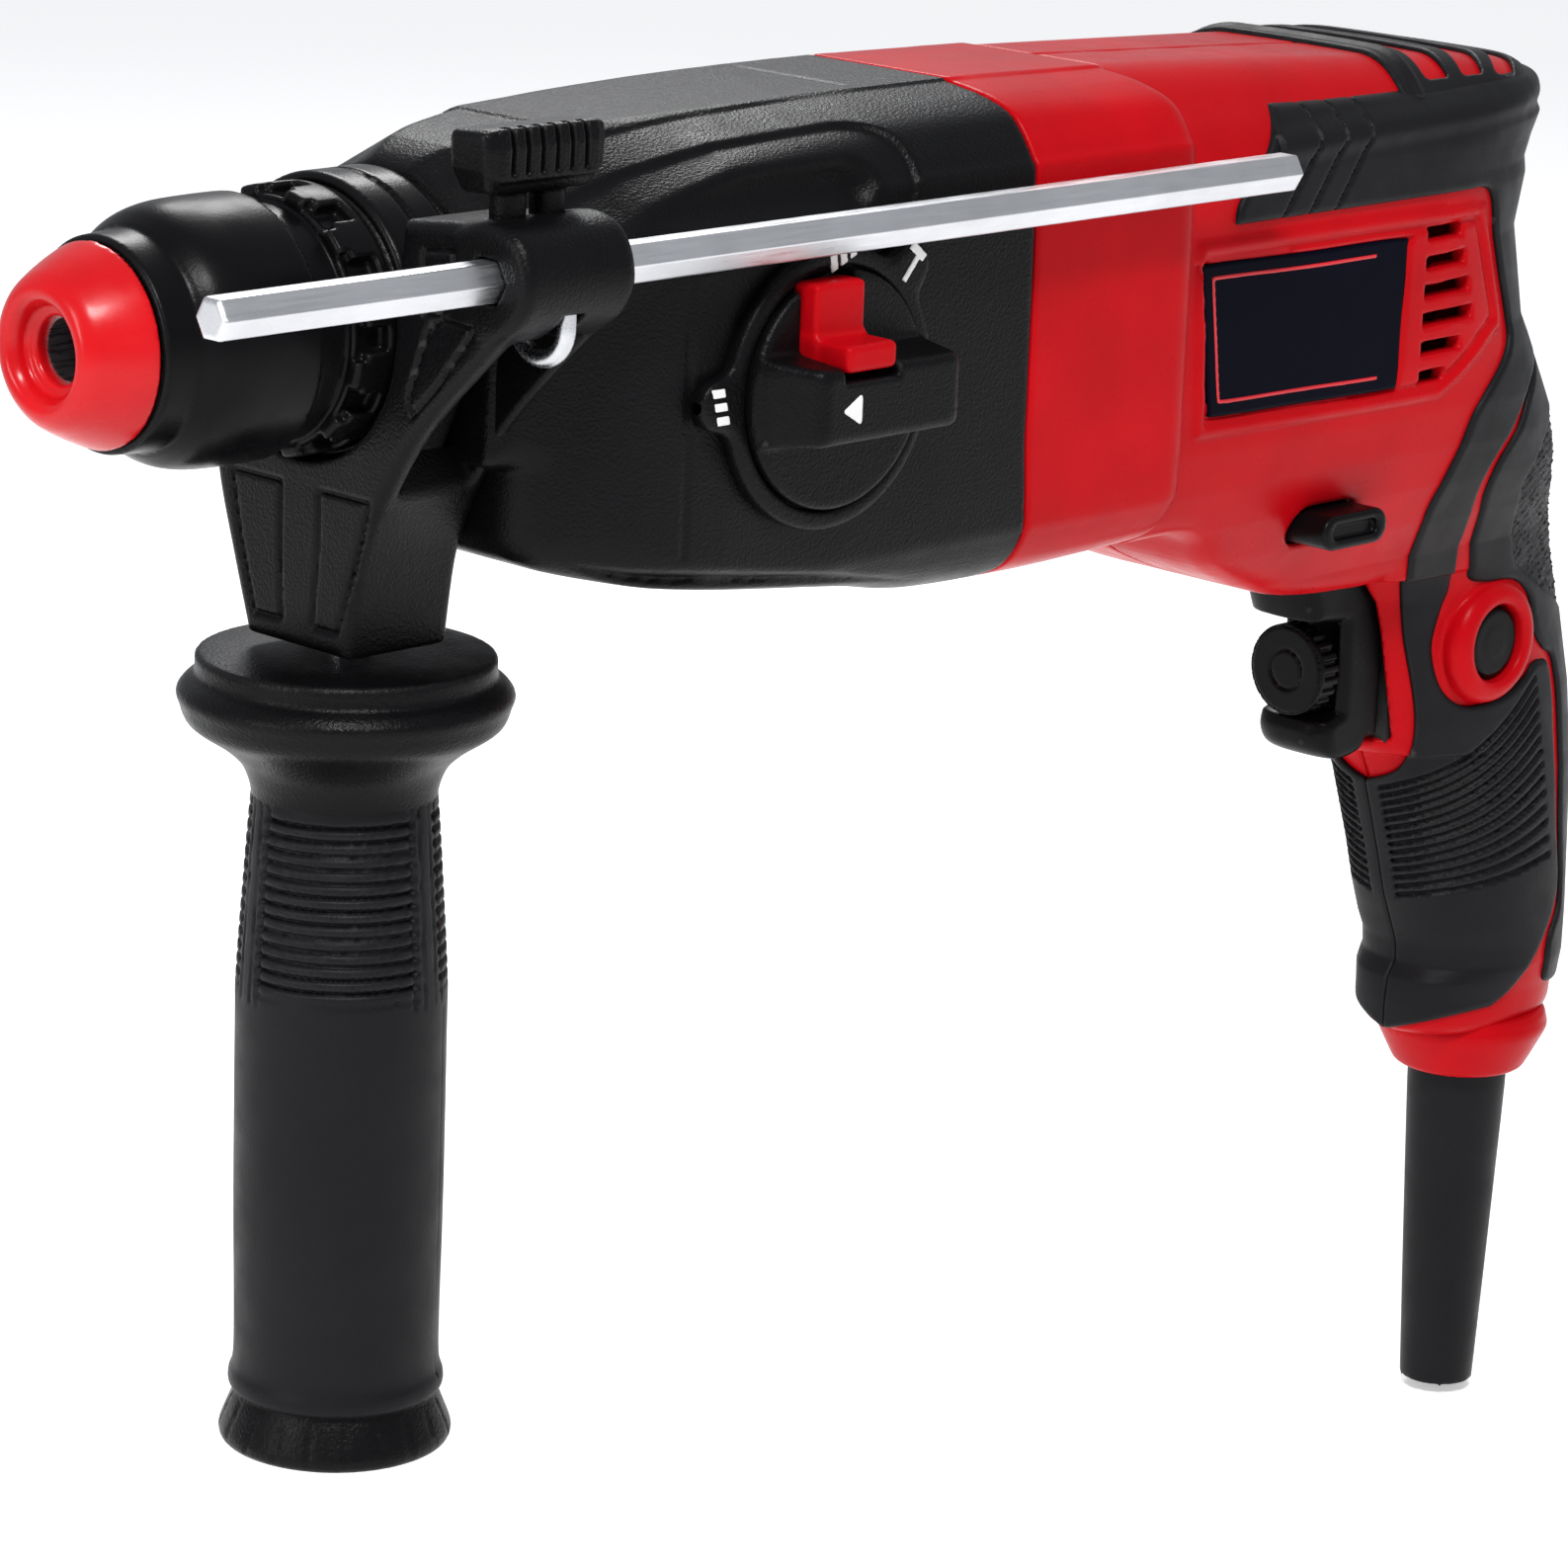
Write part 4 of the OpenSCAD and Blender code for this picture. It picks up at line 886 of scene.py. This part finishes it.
def clamp_band(x, y, z):
    r = rod(y, z, 0)
    f = both(slab(x, 52.8, 66.2), r - 23.2, k=1.2)
    f = f + raised(np.maximum(np.abs(x - 59.5) - 0.5, 20 - r), 0.8, 0.4)
    return less(f, r - 21.6, 0.4)


def build_handle():
    black = LOOKS["grained_black"]
    carve("bracket", bracket, (47.5, -56, -56.5), (74, 25, 24), 0.6, "bracket_group", ["handle_bracket"],
          black)
    carve("band", clamp_band, (51.5, -25, -25), (68, 25, 25), 0.7, "bracket_group", ["clamp_band"],
          LOOKS["satin_black"])
    carve("rod", depth_rod, (-8, -50, 8), (244.5, -40, 18), 0.36, "rod_group", ["depth_rod"],
          ROD_STEEL)
    carve("stop_button", depth_button, (46, -48.5, 17), (76, -33, 39), 0.45, "depth_button_group",
          ["depth_button"], black)
    carve("stop_loop", stirrup, (57, -54, -5), (64.5, -36, 15.5), 0.5, "depth_button_group",
          ["depth_stirrup"], LOOKS["steel"])
    carve("handle_flange", handle_core, (30, -31, -197), (92, 31, -54), 0.8, "grip_group",
          ["side_handle_core"], black)
    carve("handle_grip", handle_grip, (40, -21, -187), (82, 21, -78), 0.6, "grip_group",
          ["side_handle_grip"], LOOKS["rubber_black"])


# ---------------------------------------------------------------- mode selector

DIAL_X, DIAL_Z, DIAL_R = 130.3, -14.2, 20.3
CASE_FACE = -39.6
bar_base = Outline([
    (-20.4, -5.4), (-19, -7.4), (19.2, -7.2), (20.4, -5.6), (20.4, 5.6), (19.2, 7.2), (-19, 7.4),
    (-20.4, 5.4)], margin=30.0)
arrow_icon = Outline([(-2.6, 0), (1.9, 2.7), (1.9, -2.7)], margin=6)


def around_dial(x, z):
    return x - DIAL_X, z - DIAL_Z


def tab(u, w, angle, reach=26.0, r=4.4):
    a = math.radians(angle)
    return np.sqrt((u - reach * math.cos(a)) ** 2 + (w - reach * math.sin(a)) ** 2) - r


def bezel(x, y, z):
    u, w = around_dial(x, z)
    r = np.sqrt(u**2 + w**2)
    ring = r - 24.0
    for angle in (180, 46):
        ring = smin(ring, tab(u, w, angle), 4.0)
    f = both(np.broadcast_to(ring, np.broadcast(x, y, z).shape), slab(y, -42.1, CASE_FACE + 1.2), k=1.5)
    return less(f, both(r - 20.7, y - CASE_FACE + 4 + 0 * x - 8, k=0.5), 0.8)


def knob(x, y, z):
    u, w = around_dial(x, z)
    r = np.sqrt(u**2 + w**2)
    shape = np.broadcast(x, y, z).shape
    disc = both(np.broadcast_to(r - DIAL_R, shape), slab(y, -43.6, CASE_FACE - 0.3), k=1.4)
    rise = np.clip((-43.6 - y) / 11.0, 0, 1)
    narrow = bar_base(u, w * (1 + 0.16 * rise))
    ends = np.maximum(-u - 20.2 + 5.4 * rise, u - 20.0 + 2.2 * rise)
    bar = both(np.broadcast_to(narrow, shape), np.broadcast_to(ends, shape), slab(y, -54.4, -41), k=2.0)
    f = smin(disc, bar, 1.2)
    well = both(slab(u, -9.8, 2.8), 4.0 - w, slab(y, -60, -40.4), k=0.5)
    f = less(f, np.broadcast_to(well, shape), 0.8)
    shaft = both(np.broadcast_to(r - 7.4, shape), slab(y, -41, -36), k=0.4)
    return smin(f, shaft, 0.3)


def lock(x, y, z):
    u, w = around_dial(x, z)
    plate = brick(u, y, w, (-9.3, -46.4, 5.4), (2.3, -40.6, 19.0), 1.0)
    foot = brick(u, y, w, (-9.3, -54.2, 5.4), (2.3, -40.6, 10.0), 1.2)
    return smin(plate, foot, 1.6)


def decal(name, shape, at, y, angle, body):
    """A flat printed mark on a face that looks to -Y: the outline's inside, 0.15 mm thick."""
    a = math.radians(angle)

    def field(x, py, z):
        u, w = x - at[0], z - at[1]
        flat = shape(u * math.cos(a) + w * math.sin(a), w * math.cos(a) - u * math.sin(a))
        return np.maximum(np.broadcast_to(flat, np.broadcast(x, py, z).shape), slab(py, y - 0.15, y + 0.3))

    low, high = (at[0] - 5, y - 1, at[1] - 5), (at[0] + 5, y + 1, at[1] + 5)
    carve(name, field, low, high, 0.25, body, [], WHITE_INK)


def drill_mark(u, w):
    """Three slanted bars, a drill bit seen from the side."""
    f = np.abs(w) - 0.75
    for level in (-2.3, 2.3):
        f = np.minimum(f, np.abs(w - level) - 0.75)
    return np.maximum(f, np.abs(u + 0.25 * w) - 1.4)


def hammer_mark(u, w):
    handle = np.maximum(np.abs(u - 0.4) - 0.55, slab(w, -3.4, 1.6))
    head = np.maximum(np.abs(w - 2.3) - 0.8, slab(u, -2.1, 1.9))
    return np.minimum(handle, head)


def build_selector():
    black = LOOKS["grained_black"]
    low, high = (100, -44, -42), (160, -36, 14)
    carve("mode_ring", bezel, low, high, 0.6, "housing", ["selector_bezel"], black)
    carve("mode_knob", knob, (108, -56, -37), (153, -35, 8), 0.5, "selector_group", ["selector_knob"],
          black)
    carve("mode_lock", lock, (119, -56, -11), (135, -39, 7), 0.45, "selector_lock_group", ["selector_lock"],
          LOOKS["shell_red"])
    decal("mark_pointer", arrow_icon, (DIAL_X - 8, DIAL_Z - 0.6), -54.4, 0, "selector_group")
    decal("mark_drill", drill_mark, (DIAL_X - 26.4, DIAL_Z), -42.1, 0, "housing")
    decal("mark_hammer", hammer_mark, (DIAL_X + 17.6, DIAL_Z + 19.4), -42.1, -40, "housing")
    decal("mark_both", drill_mark, (DIAL_X + 1.0, DIAL_Z + 22.3), -42.1, -80, "housing")


# ---------------------------------------------------------------- controls, label, vent and cord exit

SPEED_X, SPEED_Z, SPEED_R = 307.6, -97.6, 9.1
trigger_side = Outline([
    (297.5, -64, 1), (297.4, -70), (298.6, -78), (300.2, -83), (301.6, -86.4, 1), (310.4, -87.2, 1),
    (310.4, -106, 1), (306.4, -107.4, 1), (305.8, -110.4), (307.4, -113.6), (311, -115.4),
    (316.6, -114.6), (318.6, -112.4, 1), (322, -112.4, 1), (322, -64, 1)], True)


def trigger(x, y, z):
    """Trigger with a rounded nose above the dial and a lip below it."""
    shape = np.broadcast(x, y, z).shape
    hug = 2.4 * (np.abs(y) / 9.0) ** 3
    side = trigger_side(x - hug, z)
    f = both(np.broadcast_to(side, shape), np.broadcast_to(np.abs(y) - 9.0, shape), k=2.0)
    stem = brick(x, y, z, (316, -4, -106), (334, 4, -82), 0.8)
    f = smin(f, stem, 0.6)
    notch = both(slab(x, 300, 315.0), slab(z, -106.0, -87.8), -7.0 - y, k=0.8)
    f = less(f, notch, 0.8)
    socket = both(rod(y, z, 2.2, 0, SPEED_Z), slab(x, 300, 316), k=0.3)
    return less(f, socket, 0.3)


def speed_dial(x, y, z):
    """Thumb dial: a raised face with a round groove, and a coarse knurled rim."""
    dx = x - SPEED_X
    r = rod(y, z, 0, 0, SPEED_Z)
    angle = np.arctan2(z - SPEED_Z, y)
    wave = np.abs(np.mod(angle * 22 / (2 * math.pi), 1) - 0.5) * 2
    knurl = 0.75 * np.clip((wave - 0.45) * 3.5, 0, 1) * (dx > -1.6)
    f = both(r - SPEED_R + knurl, slab(dx, -2.8, 2.9), k=0.7)
    f = f + raised(np.maximum(np.abs(r - 3.9) - 0.4, dx + 1.5), 0.5, 0.35)
    f = f + raised(np.maximum(np.abs(r - 8.6) - 0.3, dx + 1.5), 0.3, 0.3)
    return smin(f, both(r - 2, slab(x, 309, 315.5), k=0.3), 0.3)


def lock_on(x, y, z):
    r = rod(x, z, 0, LOCK_X, LOCK_Z)
    f = both(np.broadcast_to(r - LOCK_R, np.broadcast(x, y, z).shape), slab(y, -20.6, -12.7), k=1.6)
    return f - raised(np.maximum(r - 4.4, y + 19), 0.15, 3.0)


def direction(x, y, z):
    u, w = x - BAR_X, z - BAR_Z
    stadium = np.sqrt(np.maximum(np.abs(u) - 5.9, 0) ** 2 + w**2) - 3.35
    f = both(np.broadcast_to(stadium, np.broadcast(x, y, z).shape), slab(y, -36.4, 27.4), k=0.9)
    slot = np.sqrt(np.maximum(np.abs(u) - 5.0, 0) ** 2 + w**2) - 1.5
    return less(f, both(np.broadcast_to(slot, f.shape), y + 35.0, k=0.4), 0.6)


def label(x, y, z):
    f = label_place(x, z) + 0.35
    return both(np.broadcast_to(f, np.broadcast(x, y, z).shape), slab(np.abs(y), 33.2, 34.35), k=0.3)


def label_frame(x, z):
    """The thin line near the label's edge, open towards the grille."""
    f = label_place(x, z) + 3.1
    return np.maximum(np.abs(f) - 0.33, x - 281 + 0.1 * z)


def build_controls():
    black = LOOKS["grained_black"]
    carve("trigger_lever", trigger, (297, -10.5, -117), (336, 10.5, -62), 0.5, "trigger_group", ["trigger"],
          LOOKS["satin_black"])
    carve("dial", speed_dial, (303, -12, -109.5), (317, 12, -85.5), 0.36, "dial_group", ["speed_dial"],
          LOOKS["satin_black"])
    carve("lock_button", lock_on, (335.5, -22, -103), (353.5, -8, -85), 0.5, "lock_on_group",
          ["lock_on_button"], LOOKS["satin_black"])
    carve("direction_switch", direction, (267, -38, -65), (290, 29, -54), 0.5, "direction_group",
          ["direction_bar"], LOOKS["satin_black"])
    for side, word in ((-1, "left"), (1, "right")):
        low, high = (229, min(side * 32, side * 36), -37), (294, max(side * 32, side * 36), -2)
        carve("label_" + word, label, low, high, 0.5, "housing", ["label_panels"] if side < 0 else [],
              LOOKS["label_navy"])

        def line(x, y, z, side=side):
            return np.maximum(np.broadcast_to(label_frame(x, z), np.broadcast(x, y, z).shape),
                              slab(y * side, 33.9, 34.5))

        carve("label_line_" + word, line, low, high, 0.25, "housing", [], RED_INK)


# ---------------------------------------------------------------- cord exit

collar_section = profile([
    (-178.0, 12, 1), (-178.1, 16.6), (-180.4, 17.7), (-181.4, 17.9), (-183, 17.4), (-189.4, 14.2),
    (-190.6, 13.4), (-191, 12.6, 1), (-191, 10.7, 1)], True)
sleeve_low = profile([
    (-180.4, 10.2, 1), (-192, 10.2), (-205, 9.8), (-259, 7.6), (-260.4, 7.2),
    (-261, 6.2, 1)], True)
CORD_X = 369.0


def collar(x, y, z):
    r = rod(x, y, 0, CORD_X, 0)
    return less(collar_section(z, r), r - 10.6, 0.5)


def bend_sleeve(x, y, z):
    r = rod(x, y, 0, CORD_X, 0)
    return less(sleeve_low(z, r), r - 4.3, 0.5)


def build_cord_exit():
    carve("collar", collar, (348, -21, -193), (390, 21, -176), 0.7, "housing", ["cord_collar"],
          LOOKS["shell_red"])
    carve("bend_sleeve", bend_sleeve, (356, -13, -263), (382, 13, -178), 0.7, "housing", ["cord_sleeve"],
          LOOKS["rubber_black"])
    carve("vent_ribs", vent_ribs, (276, -36, 15), (354, 36, 33), 0.5, "housing", ["vent_cover"],
          LOOKS["rubber_black"])


# ---------------------------------------------------------------- camera, floor and light

CAMERA = (-538.3, -684.2, 170.3)
YAW, PITCH, ROLL, LENS = 45.79, 15.25, 2.1, 130.4


def build_camera():
    a, p, r = (math.radians(v) for v in (YAW, PITCH, ROLL))
    ahead = Vector((math.sin(a) * math.cos(p), math.cos(a) * math.cos(p), -math.sin(p)))
    right = Vector((math.cos(a), -math.sin(a), 0))
    up = right.cross(ahead)
    tilted = right * math.cos(r) + up * math.sin(r)
    upward = up * math.cos(r) - right * math.sin(r)
    data = bpy.data.cameras.new("camera")
    data.lens = LENS
    data.sensor_width = 36
    data.clip_start = 0.05
    camera = bpy.data.objects.new("camera", data)
    turn = Matrix((tilted, upward, -ahead)).transposed()
    camera.matrix_world = Matrix.Translation(Vector(CAMERA) * SCALE) @ turn.to_4x4()
    bpy.context.scene.collection.objects.link(camera)
    bpy.context.scene.camera = camera


def area_light(name, place, target, size, power, color=(1, 1, 1)):
    data = bpy.data.lights.new(name, "AREA")
    data.shape = "RECTANGLE"
    data.size, data.size_y = size
    data.energy = power
    data.color = color
    light = bpy.data.objects.new(name, data)
    light.location = place
    light.rotation_euler = (Vector(target) - Vector(place)).to_track_quat("-Z", "Y").to_euler()
    bpy.context.scene.collection.objects.link(light)


def plain_floor():
    """Pale matt paper with a faint grain."""
    n = Nodes("floor")
    shade = n.spread(n.noise(300.0, 2.0), 0.3, 0.7, 0.0, 1.0)
    n.join(n.tint(shade, (0.88, 0.88, 0.88), (0.9, 0.9, 0.9)), n.shader.inputs["Base Color"])
    n.shader.inputs["Roughness"].default_value = 1.0
    n.shader.inputs["Specular IOR Level"].default_value = 0.0
    n.shader.inputs["Emission Color"].default_value = (1, 1, 1, 1)
    n.shader.inputs["Emission Strength"].default_value = 0.42
    return n.material


def build_stage():
    bpy.context.scene.view_settings.view_transform = "Standard"
    size, base = 6.0, -0.263
    corners = np.array([(-size, -size, 0), (size, -size, 0), (size, size, 0), (-size, size, 0)])
    floor = mesh_object("floor", corners / SCALE + np.array((0, 0, base / SCALE)), [(0, 1, 2, 3)])
    floor.data.materials.append(plain_floor())
    world = bpy.data.worlds.new("world")
    world.use_nodes = True
    world.node_tree.nodes["Background"].inputs["Color"].default_value = (0.93, 0.95, 1.0, 1)
    world.node_tree.nodes["Background"].inputs["Strength"].default_value = 0.5
    bpy.context.scene.world = world
    middle = (0.2, 0, -0.05)
    area_light("key", (-0.55, -0.75, 1.2), middle, (0.4, 0.3), 22)
    area_light("side", (-1.2, 0.1, 0.35), middle, (0.3, 0.6), 6)
    area_light("rim", (0.9, 0.9, 0.9), middle, (0.5, 0.4), 9)


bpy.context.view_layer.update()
build_camera()
build_stage()
build_casing()
build_rear()
build_chuck()
build_handle()
build_selector()
build_controls()
build_cord_exit()
slots = {s["node"]: s["material_slot"] for s in frame["record"]["subparts"]}
for node, obj in frame["nodes"].items():
    if not obj.hide_render:
        obj.data.materials.clear()
        obj.data.materials.append(LOOKS[slots[node]])
